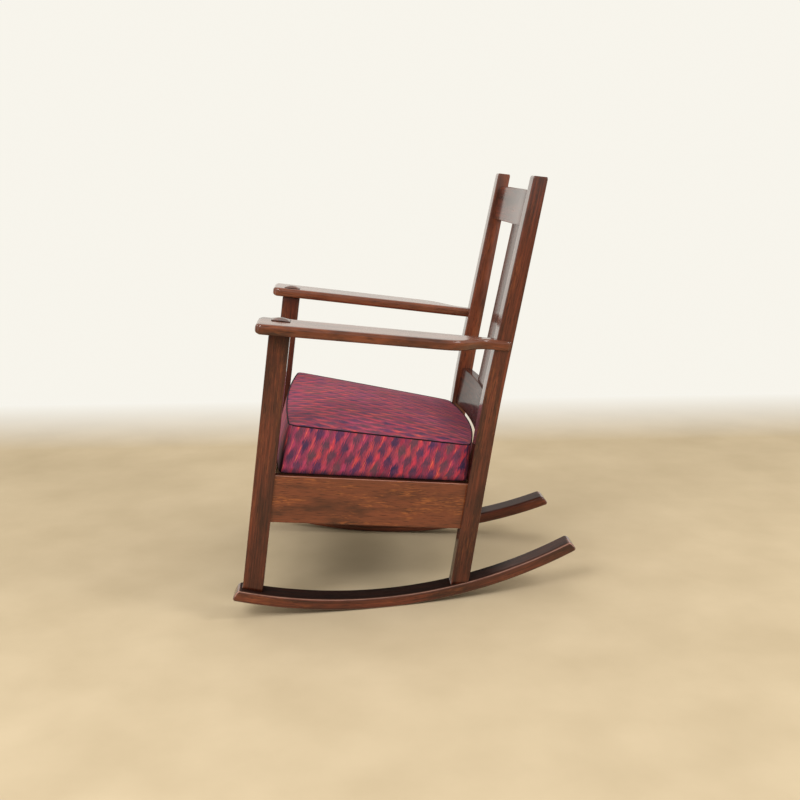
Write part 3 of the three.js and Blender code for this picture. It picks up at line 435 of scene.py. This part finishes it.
# Plain woven cloths: jute burlap shows a coarse open grid of threads, cambric a fine black one.
def plainWeave(name, tones, thread):
    material, tree, shader = newMaterial(name)
    place = addNode(tree, "ShaderNodeTexCoord").outputs["Object"]
    split = addNode(tree, "ShaderNodeSeparateXYZ", {"Vector": place})
    turns = 2 * math.pi * 1000 / thread
    warp = addNode(tree, "ShaderNodeMath", {0: split.outputs[0], 1: turns}, operation="MULTIPLY")
    weft = addNode(tree, "ShaderNodeMath", {0: split.outputs[1], 1: turns}, operation="MULTIPLY")
    warpWave = addNode(tree, "ShaderNodeMath", {0: warp}, operation="SINE")
    weftWave = addNode(tree, "ShaderNodeMath", {0: weft}, operation="SINE")
    weave = addNode(tree, "ShaderNodeMath", {0: warpWave, 1: weftWave}, operation="MULTIPLY")
    level = addNode(tree, "ShaderNodeMapRange", {"Value": weave, "From Min": -1.0})
    tone = addNode(tree, "ShaderNodeValToRGB", {"Fac": level}, stops=[(0.2, tones[0]), (0.8, tones[1])])
    bump = addNode(tree, "ShaderNodeBump", {"Height": level, "Strength": 0.5, "Distance": 0.0006})
    tree.links.new(tone.outputs[0], shader.inputs["Base Color"])
    tree.links.new(bump.outputs[0], shader.inputs["Normal"])
    shader.inputs["Roughness"].default_value = 0.9
    return material


oak = stainedOak("stained_quarter_sawn_oak", oakFinish)
cloth = flameStitchCloth("woven_flame_stitch_cloth", clothWeave)
piping = pipingCloth("bias_piping_cloth")
bareOak = sawnOak("sawn_bare_oak")
screwSteel = drawnSteel("turned_screw_steel", ("#6f6b64", "#a5a099"), 0.38)
springSteel = drawnSteel("drawn_spring_steel", ("#2e2b28", "#5a5650"), 0.45)
jute = plainWeave("jute_burlap", ("#6d5230", "#b08f5c"), 3.0)
cambric = plainWeave("black_cambric", ("#0d0c0d", "#262427"), 1.5)
print("materials made")


# ---- camera, floor and light

view = {"place": (2.430, -0.1426, 0.9105), "turn": 3.213, "tip": 12.158, "roll": -0.2, "lens": 49.64}


def addCamera(look):
    # looks along -X, turned towards +Y by turn, tipped down by tip, in degrees
    turn, tip, roll = (math.radians(look[key]) for key in ("turn", "tip", "roll"))
    level = np.array([-math.cos(turn), math.sin(turn), 0.0])
    right, up = np.array([math.sin(turn), math.cos(turn), 0.0]), np.array([0.0, 0.0, 1.0])
    ahead = level * math.cos(tip) - up * math.sin(tip)
    above = up * math.cos(tip) + level * math.sin(tip)
    across = right * math.cos(roll) + above * math.sin(roll)
    above = above * math.cos(roll) - right * math.sin(roll)
    camera = bpy.data.objects.new("camera", bpy.data.cameras.new("camera"))
    camera.data.lens, camera.data.sensor_width = look["lens"], 36.0
    turned = np.eye(4)
    turned[:3, 0], turned[:3, 1], turned[:3, 2], turned[:3, 3] = across, above, -ahead, look["place"]
    camera.matrix_world = Matrix(turned.tolist())
    bpy.context.scene.collection.objects.link(camera)
    bpy.context.scene.camera = camera


worldLight = {"horizon": "#fcf9f0", "above": "#cbc6ba", "heights": (0.30, 0.80), "strength": 0.96}
floorLook = {"radius": 9.0, "near": [(0.3, "#c0ae90"), (0.7, "#cbb99b")], "far": "#fcf9f0",
             "fade": (-1.1, -1.8), "roughness": 0.7}  # behind the chair it glows, so no horizon shows


def addFloor(look):
    # rings of points around the origin, each ring at its share of the radius
    angle = np.linspace(0, 2 * math.pi, 97)[:-1]
    ring = np.linspace(0, 1, 13)[1:] ** 2 * look["radius"]
    grid = np.stack([ring[:, None] * np.cos(angle), ring[:, None] * np.sin(angle),
                     0 * ring[:, None] * angle], -1)
    index = np.arange(grid[..., 0].size).reshape(grid.shape[:2])
    wrapped = np.roll(index, -1, 1)
    faces = np.stack([index[:-1], index[1:], wrapped[1:], wrapped[:-1]], -1).reshape(-1, 4)
    material, tree, shader = newMaterial("sealed_pale_floor")  # smooth sealed screed, faintly mottled
    place = addNode(tree, "ShaderNodeTexCoord").outputs["Object"]
    mottle = addNode(tree, "ShaderNodeTexNoise", {"Vector": place, "Scale": 5.0, "Detail": 6.0})
    tone = addNode(tree, "ShaderNodeValToRGB", {"Fac": mottle}, stops=look["near"])
    behind = addNode(tree, "ShaderNodeSeparateXYZ", {"Vector": place}).outputs[0]
    share = ranged(tree, behind, *look["fade"])
    tree.links.new(blend(tree, share, tone.outputs[0], "#000000"), shader.inputs["Base Color"])
    tree.links.new(share, shader.inputs["Emission Strength"])
    shader.inputs["Emission Color"].default_value = [worldLight["strength"] * part for part in
                                                     linearColour(look["far"], 1 / worldLight["strength"])]
    shader.inputs["Roughness"].default_value = look["roughness"]
    shader.inputs["Specular IOR Level"].default_value = 0.0
    mesh = bpy.data.meshes.new("floor")
    mesh.from_pydata(grid.reshape(-1, 3).tolist(), [], [*faces.tolist(), index[0].tolist()])
    mesh.materials.append(material)
    floor = bpy.data.objects.new("floor", mesh)
    bpy.context.scene.collection.objects.link(floor)


lamps = {
    "key": {"place": (2.4, -1.8, 2.4), "side": 1.2, "power": 52.0},
    "spark": {"place": (2.3, -0.9, 2.0), "side": 0.28, "power": 9.0},  # small, for points of light on edges
    "fill": {"place": (1.2, 2.3, 2.1), "side": 0.9, "power": 30.0},
    "top": {"place": (-0.8, 0.0, 3.0), "side": 2.6, "power": 22.0},
}


def addLight():
    for name, lamp in lamps.items():
        light = bpy.data.lights.new(name, "AREA")
        light.energy, light.size = lamp["power"], lamp["side"]
        source = bpy.data.objects.new(name, light)
        toward = np.array([0.0, 0.0, 0.4]) - lamp["place"]
        source.location = lamp["place"]
        source.rotation_euler = (math.atan2(math.hypot(toward[0], toward[1]), -toward[2]), 0.0,
                                 math.atan2(toward[0], -toward[1]) + math.pi)
        bpy.context.scene.collection.objects.link(source)
    # the world is bright round the horizon and dimmer overhead, by the height of the direction looked in
    world = bpy.data.worlds.new("studio")
    world.use_nodes = True
    tree = world.node_tree
    background = tree.nodes["Background"]
    way = addNode(tree, "ShaderNodeTexCoord").outputs["Generated"]
    height = addNode(tree, "ShaderNodeSeparateXYZ", {"Vector": way}).outputs[2]
    share = ranged(tree, height, *worldLight["heights"])
    horizon = linearColour(worldLight["horizon"])
    tree.links.new(blend(tree, share, horizon, worldLight["above"]), background.inputs[0])
    background.inputs[1].default_value = worldLight["strength"]
    bpy.context.scene.world = world
    bpy.context.scene.view_settings.view_transform = "Standard"


addCamera(view)
addFloor(floorLook)
addLight()
print("camera, floor and light made")


# ---- oak boards

boardCount = 0


def plankPlaces(points):
    # a board's own coordinates, moved apart from every other board's so that no two share their grain
    global boardCount
    boardCount += 1
    return points + np.array([0.83, 0.31, 0.57]) * boardCount


plainWearAndLight = {"brown": 0.1, "figure": 0.35, "grimeAndShade": None, "wornAndHighlight": (0.5, 0.5, 0.5, 0.5)}


def boardLook(block, arris, wearAndLight):
    # Each arris is weighted by the wear and painted highlight on its side of the width and of the thickness.
    # Grime and painted shade, where a board has any, are a function of the block's own coordinates.
    p, q, s = block.T
    lowQ, highQ, lowS, highS = wearAndLight["wornAndHighlight"]
    weight = np.where(q < 0, lowQ, highQ) * np.where(s < 0, lowS, highS) * 2
    grimeAndShade = wearAndLight["grimeAndShade"](p, q, s) if wearAndLight["grimeAndShade"] else 0 * p
    board = np.stack([wearAndLight["brown"] + 0 * p, wearAndLight["figure"] + 0 * p, np.clip(grimeAndShade, 0, 1)], 1)
    return {"plank": plankPlaces(block), "board": board}, {"arris": arris * weight}


def boardShell(size, axes, ends, limits, radii=0.002, flatSteps=(24, 8, 6), corner=0.0, after=None,
               wearAndLight=plainWearAndLight):
    # A rounded block laid into its place: the length runs between the ends along the first axis, the
    # width and thickness between the section's limits there. True distances are kept near every edge.
    block, lattice, faces, _, arris = roundedBlock(size, radii, flatSteps)
    p, q, s = block.T
    half, margin = np.array(size) / 2, np.max(radii) * 1.5
    if corner:
        p, q = roundCorners(p, q, half[0], half[1], corner)
        margin = max(margin, corner)
    place = fitBetween(p, half[0], *ends, margin)
    low, high, lowerIn, lowerOut, upperIn, upperOut = limits(place)
    width = fitBetween(q, half[1], low, high, margin)
    share = (width - low) / (high - low)
    thin = min(margin, half[2] * 0.6)
    thick = fitBetween(s, half[2], lowerIn + (upperIn - lowerIn) * share,
                       lowerOut + (upperOut - lowerOut) * share, thin)
    points = np.empty_like(block)
    for axis, values in zip(axes, (place, width, thick)):
        points[:, axis] = values
    points = leanedBack(points)
    if after:
        points = after(points)
    return points, outward(points, faces), *boardLook(block, arris, wearAndLight)


def addBoards(name, *shells):
    # one or more closed shells in one mesh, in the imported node's stead
    counts = np.cumsum([0] + [len(points) for points, *_ in shells])
    points = np.concatenate([shell[0] for shell in shells])
    faces = np.concatenate([shell[1] + count for shell, count in zip(shells, counts)])
    vectors, numbers = ({key: np.concatenate([shell[k][key] for shell in shells]) for key in shells[0][k]}
                        for k in (2, 3))
    return addPiece(name, points, faces, oak, "frame", [name], vectors, numbers)


rockerLook = {"endRound": 0.011, "arris": 0.0055, "blend": 0.05}


def rockerSize(word):
    # radius of the underside from its rear tip: half of (y squared plus z squared) over z
    points, _ = nodeMesh(f"rocker_{word}", turned=False)
    points = points - [0, contactY, 0]
    tip = points[points[:, 1].argmax()]
    toe = points[points[:, 1].argmin()]
    radius = (tip[1] ** 2 + tip[2] ** 2) / (2 * tip[2])
    return radius, toe[1], tip[1]


def rockerTopZ(radius, y, thick):
    return radius - np.sqrt((radius - thick) ** 2 - (y - contactY) ** 2)


def addRocker(word, side, look):
    # A block bent along the underside's arc: angle = distance along it over the radius, and the depth
    # into the board is taken from the radius. The ends' upper corners are pulled back on a quarter round.
    name = f"rocker_{word}"
    radius, toe, tip = rockerSize(word)
    levels = [contactY + toe * 0.6, contactY + tip * 0.8]
    rows = [cutAt(name, yAxis, level, turned=False) for level in levels]
    inner = np.polyfit(levels, [row[:, 0].min() for row in rows], 1)
    outer = np.polyfit(levels, [row[:, 0].max() for row in rows], 1)
    middle = cutAt(name, yAxis, contactY + 0.004, turned=False)
    thick = middle[:, 2].max() - middle[:, 2].min()
    width = np.polyval(outer, contactY) - np.polyval(inner, contactY)
    first, last = math.asin(toe / radius), math.asin(tip / radius)
    size = (radius * (last - first), width, thick)
    block, _, faces, _, arris = roundedBlock(size, look["arris"], (70, 8, 4), 5)
    p, q, s = block.T
    depth = (s + thick / 2) / thick
    nearEnd = np.clip((np.abs(p) - size[0] / 2 + look["blend"]) / look["blend"], 0, 1)
    pull = look["endRound"] * (1 - np.sqrt(np.maximum(1 - depth ** 2, 0))) * nearEnd
    angle = first + (p + size[0] / 2 - np.sign(p) * pull) / radius
    reach = radius - thick * depth
    y = contactY + reach * np.sin(angle)
    x = fitBetween(q, width / 2, np.polyval(inner, y), np.polyval(outer, y), 0.01)
    points = np.stack([x, y, radius - reach * np.cos(angle)], 1)
    rearPost = cutAt(f"rear_post_{word}", zAxis, 0.09)[:, 1].max()

    def grimeAndShade(p, q, s):
        # painted shade: the top face darkened, darkest between the posts under the seat
        along = radius * (p / radius + (first + last) / 2) + contactY
        return (s > thick / 2 - 0.002) * np.interp(along, [rearPost, rearPost + 0.06], [0.97, 0.7])

    # the upper arrises, the outer one most, are paler from wear and as a painted highlight
    wearAndLight = {**plainWearAndLight, "grimeAndShade": grimeAndShade, "wornAndHighlight": (0.2, 0.9, 0.4, 0.9) if side > 0 else (0.9, 0.2, 0.4, 0.9)}
    addBoards(name, (points, outward(points, faces), *boardLook(block, arris, wearAndLight)))
    return radius, thick


postLook = {"arris": 0.0026, "topRound": 0.006, "tenonArris": 0.0016, "crown": 0.0042, "bendLength": 0.06}


def standOn(radius, thick):
    # lifts whatever reaches below the rocker's top face up on to it
    def lifted(points):
        points[:, 2] = np.maximum(points[:, 2], rockerTopZ(radius, points[:, 1], thick))
        return points
    return lifted


def addFrontPost(word, look, radius, thick):
    # a straight board up to the arm, then its through tenon above it with a crowned top
    name = f"front_post_{word}"
    arm = upright(nodeMesh(f"arm_{word}", turned=False)[0])
    underArm, overArm = arm[:, 2].min(), arm[:, 2].max()
    limits = limitsAlong(name, zAxis, yAxis, xAxis, [0.12, 0.3, 0.5], 1)
    stock = limits(0.3)[1] - limits(0.3)[0]
    reach = underArm / 2
    # painted shade just under the arm; the post is also darker towards the bottom and a little darker all
    # over
    wearAndLight = {**plainWearAndLight, "grimeAndShade": lambda p, q, s: 0.6 * np.clip((p - reach + 0.035) / 0.03, 0, 1)
            + np.interp(p, [-reach, reach / 2], [0.26, 0.12])}
    post = boardShell((underArm - 0.02, stock, stock), (zAxis, yAxis, xAxis), (0.02, underArm - 0.0003),
                      limits, look["arris"], (40, 6, 6), after=standOn(radius, thick), wearAndLight=wearAndLight)
    tenonRow = sectionRow(name, zAxis, yAxis, xAxis, overArm + 0.0008)
    tall = 0.014
    size = (tall, tenonRow[1] - tenonRow[0], tenonRow[3] - tenonRow[2])
    block, _, faces, _, arris = roundedBlock(size, look["tenonArris"], (4, 14, 14))
    dome = (1 - (2 * block[:, 1] / size[1]) ** 2) * (1 - (2 * block[:, 2] / size[2]) ** 2)
    z = overArm + 0.0016 - tall / 2 + block[:, 0] + np.where(block[:, 0] > 0, look["crown"] * dome, 0)
    points = np.stack([block[:, 2] + (tenonRow[2] + tenonRow[3]) / 2,
                       block[:, 1] + (tenonRow[0] + tenonRow[1]) / 2, z], 1)
    points = leanedBack(points)
    # the tenon's sides hold dark finish, which draws the joint's outline on the arm
    wearAndLight = {**plainWearAndLight, "grimeAndShade": lambda p, q, s: 1.0 * ((np.abs(q) > size[1] / 2 - 0.0006) |
                                                         (np.abs(s) > size[2] / 2 - 0.0006))}
    addBoards(name, post, (points, outward(points, faces), *boardLook(block, arris, wearAndLight)))


def addRearPost(word, side, look, radius, thick):
    # the section's limits are read at many levels, and the bend is softened by a moving average
    name = f"rear_post_{word}"
    top = nodeMesh(name)[0][:, 2].max()
    levels = np.linspace(0.09, top - 0.006, 60)
    rows = np.array([sectionRow(name, zAxis, yAxis, xAxis, level) for level in levels])
    reach = np.linspace(-look["bendLength"], look["bendLength"], 9)

    def limits(place):
        def column(k):
            slopeLow = (rows[6, k] - rows[0, k]) / (levels[6] - levels[0])
            slopeHigh = (rows[-1, k] - rows[-7, k]) / (levels[-1] - levels[-7])
            at = place[:, None] + reach
            inside = np.interp(at, levels, rows[:, k])
            below = np.minimum(at - levels[0], 0) * slopeLow
            above = np.maximum(at - levels[-1], 0) * slopeHigh
            return (inside + below + above).mean(1)
        return [column(k) for k in range(6)]

    row = rows[30]
    size = (top - 0.03, row[1] - row[0], row[3] - row[2])
    # the far post is browner and paler as painted light, where it faces the lamps; the near post is darker
    # towards the bottom
    wearAndLight = {**plainWearAndLight, "brown": 0.1 if side > 0 else 0.6,
            "grimeAndShade": lambda p, q, s: np.interp(p, [-top / 2, 0.0], [0.28, 0.03] if side > 0 else [0.1, 0.0])}
    addBoards(name, boardShell(size, (zAxis, yAxis, xAxis), (0.03, top), limits,
                               (look["topRound"], look["arris"], look["arris"]), (60, 6, 6),
                               after=standOn(radius, thick), wearAndLight=wearAndLight))


for word, side in sides.items():
    radius, thick = addRocker(word, side, rockerLook)
    addFrontPost(word, postLook, radius, thick)
    addRearPost(word, side, postLook, radius, thick)
print("rockers and posts made")


railLook = {"arris": 0.0022, "into": 0.012}


def addRails(look):
    # straight boards whose ends run a little way into the posts
    for word in sides:
        name = f"side_rail_{word}"
        limits = limitsAlong(name, yAxis, zAxis, xAxis, [-0.2, -0.05, 0.1], 1)
        front = upright(nodeMesh(f"front_post_{word}", turned=False)[0])
        rear = cutAt(f"rear_post_{word}", zAxis, 0.22)
        row = limits(0.0)
        start = cutAt(f"front_post_{word}", zAxis, 0.22)[:, 1].max() - look["into"]
        end = rear[:, 1].min() + look["into"]
        size = (end - start, row[1] - row[0], row[3] - row[2])
        halfRail = (row[1] - row[0]) / 2
        # painted shade on the top face under the cushion's edge, and a painted highlight along the top arris
        # over real wear
        wearAndLight = {"brown": 0.8, "figure": 1.0, "wornAndHighlight": (0.3, 1.3, 0.7, 0.7),
                "grimeAndShade": lambda p, q, s: 0.85 * (q > halfRail - 0.0004) * (s * sides[word] < 0.0075)}
        addBoards(name, boardShell(size, (yAxis, zAxis, xAxis), (start, end), limits, look["arris"],
                                   (30, 10, 4), wearAndLight=wearAndLight))
    for name, post in (("front_rail", "front_post"), ("rear_rail", "rear_post")):
        limits = limitsAlong(name, xAxis, zAxis, yAxis, [-0.13, 0.01, 0.13], 1)
        reach = cutAt(f"{post}_left", zAxis, 0.22)[:, 0].min() + look["into"]
        row = limits(0.0)
        size = (2 * reach, row[1] - row[0], row[3] - row[2])
        addBoards(name, boardShell(size, (xAxis, zAxis, yAxis), (-reach, reach), limits, look["arris"],
                                   (30, 10, 4)))


backLook = {"arris": 0.0024, "splatArris": 0.0014, "into": 0.010, "splatInto": 0.008}


def addBack(look):
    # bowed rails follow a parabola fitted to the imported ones; the splat stands between them
    for name in ("crest_rail", "lower_back_rail"):
        box = nodeMesh(name)[0]
        height = (box[:, 2].min() + box[:, 2].max()) / 2
        reach = cutAt("rear_post_left", zAxis, height)[:, 0].min()
        stations = np.linspace(-reach + 0.006, reach - 0.006, 18)
        limits = limitsAlong(name, xAxis, zAxis, yAxis, stations, 2)
        row = limits(0.0)
        size = (2 * (reach + look["into"]), row[1] - row[0], row[3] - row[2])
        # the lower back rail is made darker and duller all over
        wearAndLight = {**plainWearAndLight, "grimeAndShade": (lambda p, q, s: 0.5 + 0 * p) if name == "lower_back_rail" else None}
        addBoards(name, boardShell(size, (xAxis, zAxis, yAxis), (-reach - look["into"], reach + look["into"]),
                                   limits, look["arris"], (48, 8, 4), wearAndLight=wearAndLight))
    lower, upper = nodeMesh("lower_back_rail")[0][:, 2].max(), nodeMesh("crest_rail")[0][:, 2].min()
    limits = limitsAlong("back_splat", zAxis, xAxis, yAxis, [lower + 0.03, upper - 0.03], 1)
    row = limits(0.6)
    ends = (lower - look["splatInto"], upper + look["splatInto"])
    size = (ends[1] - ends[0], row[1] - row[0], row[3] - row[2])
    # the splat is made a little darker and duller all over
    wearAndLight = {**plainWearAndLight, "grimeAndShade": lambda p, q, s: 0.2 + 0 * p}
    addBoards("back_splat", boardShell(size, (zAxis, xAxis, yAxis), ends, limits, look["splatArris"],
                                       (30, 10, 3), wearAndLight=wearAndLight))


armLook = {"arris": (0.009, 0.0052, 0.0068), "corner": 0.013, "stations": 60}


armWearAndLight = {"brown": 0.95, "figure": 0.5, "grimeAndShade": None, "wornAndHighlight": (0.15, 0.15, 0.5, 0.5)}


def addArm(word, side, look):
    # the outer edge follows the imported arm's sweep; the inner edge is the straight line of its front part
    name = f"arm_{word}"
    points = nodeMesh(name)[0]
    front, rear, low, high = points[:, 1].min(), points[:, 1].max(), points[:, 2].min(), points[:, 2].max()
    levels = np.linspace(front + 0.02, rear - 0.001, look["stations"])
    cuts = [side * cutAt(name, yAxis, level)[:, 0] for level in levels]
    outer = np.array([cut.max() for cut in cuts])
    inner = np.polyfit(levels[3:40], [cut.min() for cut in cuts[3:40]], 1)
    slope = (outer[8] - outer[0]) / (levels[8] - levels[0])

    def limits(place):
        inside = np.polyval(inner, place)
        outside = np.interp(place, levels, outer) + np.minimum(place - levels[0], 0) * slope
        edges = (inside, outside) if side > 0 else (-outside, -inside)
        flat = np.full_like(place, low), np.full_like(place, high)
        return [*edges, *flat, *flat]

    size = (rear - front, 0.1, high - low)
    addBoards(name, boardShell(size, (yAxis, xAxis, zAxis), (front, rear), limits, look["arris"], (90, 14, 3),
                               look["corner"], wearAndLight=armWearAndLight))


addRails(railLook)
addBack(backLook)
for word, side in sides.items():
    addArm(word, side, armLook)
print("rails, back and arms made")


# ---- the cushion

padLook = {
    "frontBow": 0.0145, "rearBow": 0.024, "flare": 0.011, "corner": 0.011, "edge": 0.005, "crown": 0.009,
    "pressure": 4.0, "frames": 20, "topCap": 0.007, "wallCap": 0.006, "weltRadius": 0.0014,
}


def padFrame():
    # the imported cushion's side lines, corners and top edge, upright
    points = nodeMesh("cushion")[0]
    rows = [cutAt("cushion", yAxis, y) for y in (-0.2, 0.1)]
    side = np.polyfit((-0.2, 0.1), [row[:, 0].max() for row in rows], 1)
    edge = np.polyfit((-0.2, 0.1), [row[row[:, 0] > row[:, 0].max() - 1e-4, 2].max() for row in rows], 1)
    return points.min(0), points.max(0), side, edge


def padShape(block, size, look):
    # x runs between the side lines, y between the bowed front and rear, and z from the base to the
    # sloping top edge; the top adds half a sine of crown each way
    low, high, side, edge = padFrame()
    half = np.array(size) / 2
    p, q = roundCorners(block[:, 0], block[:, 1], half[0], half[1], look["corner"])
    rise = (block[:, 2] + half[2]) / size[2]
    across = p / half[0]
    bow = 1 - across ** 2
    front = low[1] + look["frontBow"] + look["flare"] * rise - look["frontBow"] * bow
    rear = high[1] - look["rearBow"] + look["rearBow"] * bow
    y = fitBetween(q, half[1], front, rear, look["corner"])
    sideX = np.polyval(side, y)
    x = fitBetween(p, half[0], -sideX, sideX, look["corner"])
    crown = np.cos(np.clip(p / half[0], -1, 1) * math.pi / 2) ** 0.6
    crown = crown * np.cos(q / half[1] * math.pi / 2) ** 0.6
    top = np.polyval(edge, y)
    z = low[2] + (top - low[2]) * rise + look["crown"] * crown * np.clip(rise * 2 - 1, 0, 1)
    return np.stack([x, y, z], 1)


def simulatePad(piece, look, held, start):
    # Blender's cloth with inner pressure and no gravity; gives how far each point moved, which addPad then
    # caps
    group = piece.vertex_groups.new(name="held")
    group.add(np.flatnonzero(held).tolist(), 1.0, "REPLACE")
    cloth = piece.modifiers.new("pad", "CLOTH")
    settings = cloth.settings
    settings.quality, settings.mass, settings.vertex_group_mass = 6, 0.2, "held"
    settings.tension_stiffness = settings.compression_stiffness = 12.0
    settings.use_pressure, settings.uniform_pressure_force = True, look["pressure"]
    settings.effector_weights.gravity = 0.0
    cloth.point_cache.frame_end = look["frames"]
    for step in range(1, look["frames"] + 1):
        bpy.context.scene.frame_set(step)
    evaluated = piece.evaluated_get(bpy.context.evaluated_depsgraph_get())
    moved = np.empty(len(piece.data.vertices) * 3)
    evaluated.data.vertices.foreach_get("co", moved)
    piece.modifiers.remove(cloth)
    piece.vertex_groups.remove(group)
    bpy.context.scene.frame_set(1)
    return moved.reshape(-1, 3) - start


def addPad(look):
    size = (0.5, 0.39, 0.1)
    block, lattice, faces, axes, _ = roundedBlock(size, look["edge"], (56, 44, 10), 3)
    shape = padShape(block, size, look)
    half = np.array(size) / 2
    faces = outward(shape, faces)
    # painted shade: darker along the foot, and up the front corners low down, where the posts keep the light
    # off
    foot = np.clip(1 - (lattice[:, 2] + half[2]) / 0.010, 0, 1)
    corner = np.clip(1.6 - (half[0] - np.abs(lattice[:, 0])) / 0.05, 0, 1)
    lowDown = np.clip(2.0 - (lattice[:, 2] + half[2]) / 0.035, 0, 1)
    atFront = (lattice[:, 1] < 1e-4 - half[1]) * corner * lowDown
    paintedShade = np.clip(0.85 * foot + 0.95 * atFront, 0, 0.95)
    piece = addPiece("seat_cushion", leanedBack(shape), faces, cloth, "seat", ["cushion"],
                     numbers={"paintedShade": paintedShade})
    # each panel keeps its own cloth places: across and along the warp, in metres
    uv = piece.data.uv_layers.new(name="cloth")
    corners = np.empty(len(piece.data.loops), int)
    piece.data.loops.foreach_get("vertex_index", corners)
    at = lattice[corners]
    axis = np.repeat(np.where(axes < 0, -axes - 3, axes), 4)
    flat = np.stack([at[:, 0], at[:, 1]], 1)
    flank = np.stack([at[:, 1], at[:, 2] + 0.02], 1)
    face = np.stack([at[:, 0] + 0.013, at[:, 2] + 0.02], 1)
    places = np.where((axis == 2)[:, None], flat, np.where((axis == 0)[:, None], flank, face))
    uv.data.foreach_set("uv", np.ravel(places).astype(np.float32))
    onEdge = (np.abs(lattice[:, 2]) > half[2] - 1e-6) & (
        (np.abs(lattice[:, 0]) > half[0] - 1e-6) | (np.abs(lattice[:, 1]) > half[1] - 1e-6))
    base = lattice[:, 2] < -half[2] + look["edge"]
    start = leanedBack(shape)
    push = simulatePad(piece, look, onEdge | base, start)
    cap = np.where(lattice[:, 2] > half[2] - 1e-6, look["topCap"], look["wallCap"])
    length = np.linalg.norm(push, axis=1)
    push *= (np.minimum(length, cap) / np.maximum(length, 1e-9))[:, None]
    start = start + push
    print("cushion simulated, most moved", round(float(length.max() * 1000), 1), "mm")
    piece.data.vertices.foreach_set("co", start.ravel().astype(np.float32))
    piece.data.update()
    finish = piece.modifiers.new("smooth", "SUBSURF")
    finish.levels = finish.render_levels = 1
    topEdge = onEdge & (lattice[:, 2] > 0)
    return start[topEdge], start.mean(0)


def tubeAlong(path, radius, sidesCount):
    # a ring of points around each place of a closed path, in the plane across its tangent
    tangent = np.roll(path, -1, 0) - np.roll(path, 1, 0)
    tangent /= np.linalg.norm(tangent, axis=1, keepdims=True)
    up = np.broadcast_to(leanedBack(np.array([[0, 0, 1.0]])) - leanedBack(np.zeros((1, 3))), path.shape)
    out = np.cross(tangent, up)
    out /= np.linalg.norm(out, axis=1, keepdims=True)
    over = np.cross(out, tangent)
    angle = np.arange(sidesCount) * 2 * math.pi / sidesCount
    circle = np.cos(angle)[:, None] * out[:, None] + np.sin(angle)[:, None] * over[:, None]
    rings = path[:, None] + radius * circle
    index = np.arange(len(path) * sidesCount).reshape(len(path), sidesCount)
    nextRing, nextSide = np.roll(index, -1, 0), np.roll(index, -1, 1)
    faces = np.stack([index, nextRing, np.roll(nextRing, -1, 1), nextSide], -1).reshape(-1, 4)
    return rings.reshape(-1, 3), faces


def addWelt(edgePoints, centre, look):
    # the cushion's top edge in order round its middle, evened out and smoothed, then a cord along it
    flat = upright(edgePoints)
    middle = upright(centre[None])[0]
    order = np.argsort(np.arctan2(flat[:, 1] - middle[1], flat[:, 0] - middle[0]))
    loop = flat[order]
    step = np.linalg.norm(np.roll(loop, -1, 0) - loop, axis=1)
    travelled = np.concatenate([[0], np.cumsum(step)])
    even = np.linspace(0, travelled[-1], 420)[:-1]
    closed = np.concatenate([loop, loop[:1]])
    path = np.stack([np.interp(even, travelled, closed[:, k]) for k in range(3)], 1)
    for _ in range(3):
        path = (np.roll(path, 1, 0) + 2 * path + np.roll(path, -1, 0)) / 4
    points, faces = tubeAlong(leanedBack(path), look["weltRadius"], 10)
    addPiece("cushion_welt", points, outward(points, faces), piping, "seat")


edgePoints, centre = addPad(padLook)
addWelt(edgePoints, centre, padLook)
print("cushion made")


# ---- the dust cover

coverLook = {"thickness": 0.0008, "sag": 0.0045, "tackPitch": 0.045, "pull": 0.0009}


def addDustCover(look):
    # Cambric held between the seat frame's bars, 1.5 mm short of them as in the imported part. It hangs by
    # half a sine each way, and between two tacks its edge drops by
    # pull * (1 - cos(2 pi * place / pitch)) / 2, fading within 30 mm of the edge.
    points = nodeMesh("dust_cover")[0]
    low, high = points.min(0), points.max(0)
    rows = [cutAt("dust_cover", yAxis, y)[:, 0].max() for y in (low[1] + 0.05, high[1] - 0.05)]
    side = np.polyfit((low[1] + 0.05, high[1] - 0.05), rows, 1)
    size = (0.5, high[1] - low[1], look["thickness"])
    block, _, faces, _, _ = roundedBlock(size, 0.0003, (72, 60, 1), 1)
    half = np.array(size) / 2
    y = fitBetween(block[:, 1], half[1], low[1], high[1], 0.001)
    edge = np.polyval(side, y)
    x = fitBetween(block[:, 0], half[0], -edge, edge, 0.001)
    inX, inY = edge - np.abs(x), np.minimum(y - low[1], high[1] - y)
    belly = np.cos(x / edge * math.pi / 2) * np.sin((y - low[1]) / (high[1] - low[1]) * math.pi)
    ripple = (1 - np.cos(2 * math.pi * np.where(inX < inY, y, x) / look["tackPitch"])) / 2
    fade = np.clip(1 - np.minimum(inX, inY) / 0.03, 0, 1)
    z = high[2] - half[2] + block[:, 2] - look["sag"] * np.clip(belly, 0, 1) - look["pull"] * ripple * fade
    shape = np.stack([x, y, z], 1)
    piece = addPiece("seat_dust_cover", leanedBack(shape), outward(shape, faces), cambric, "seat",
                     ["dust_cover"])


addDustCover(coverLook)
print("dust cover made")


# ---- what stays as packed

carried = {
    "rocker_screw": screwSteel, "block_screw": screwSteel, "arm_screw_plug": oak, "arm_screw": screwSteel,
    "corner_block": bareOak, "seat_cleat": bareOak, "seat_frame": bareOak, "seat_slat": bareOak,
    "spring": springSteel, "burlap": jute,
}
for name, node in frame["nodes"].items():
    material = next((carried[start] for start in carried if name.startswith(start)), None)
    if material:
        node.data.materials.clear()
        node.data.materials.append(material)
print("packed pieces finished")
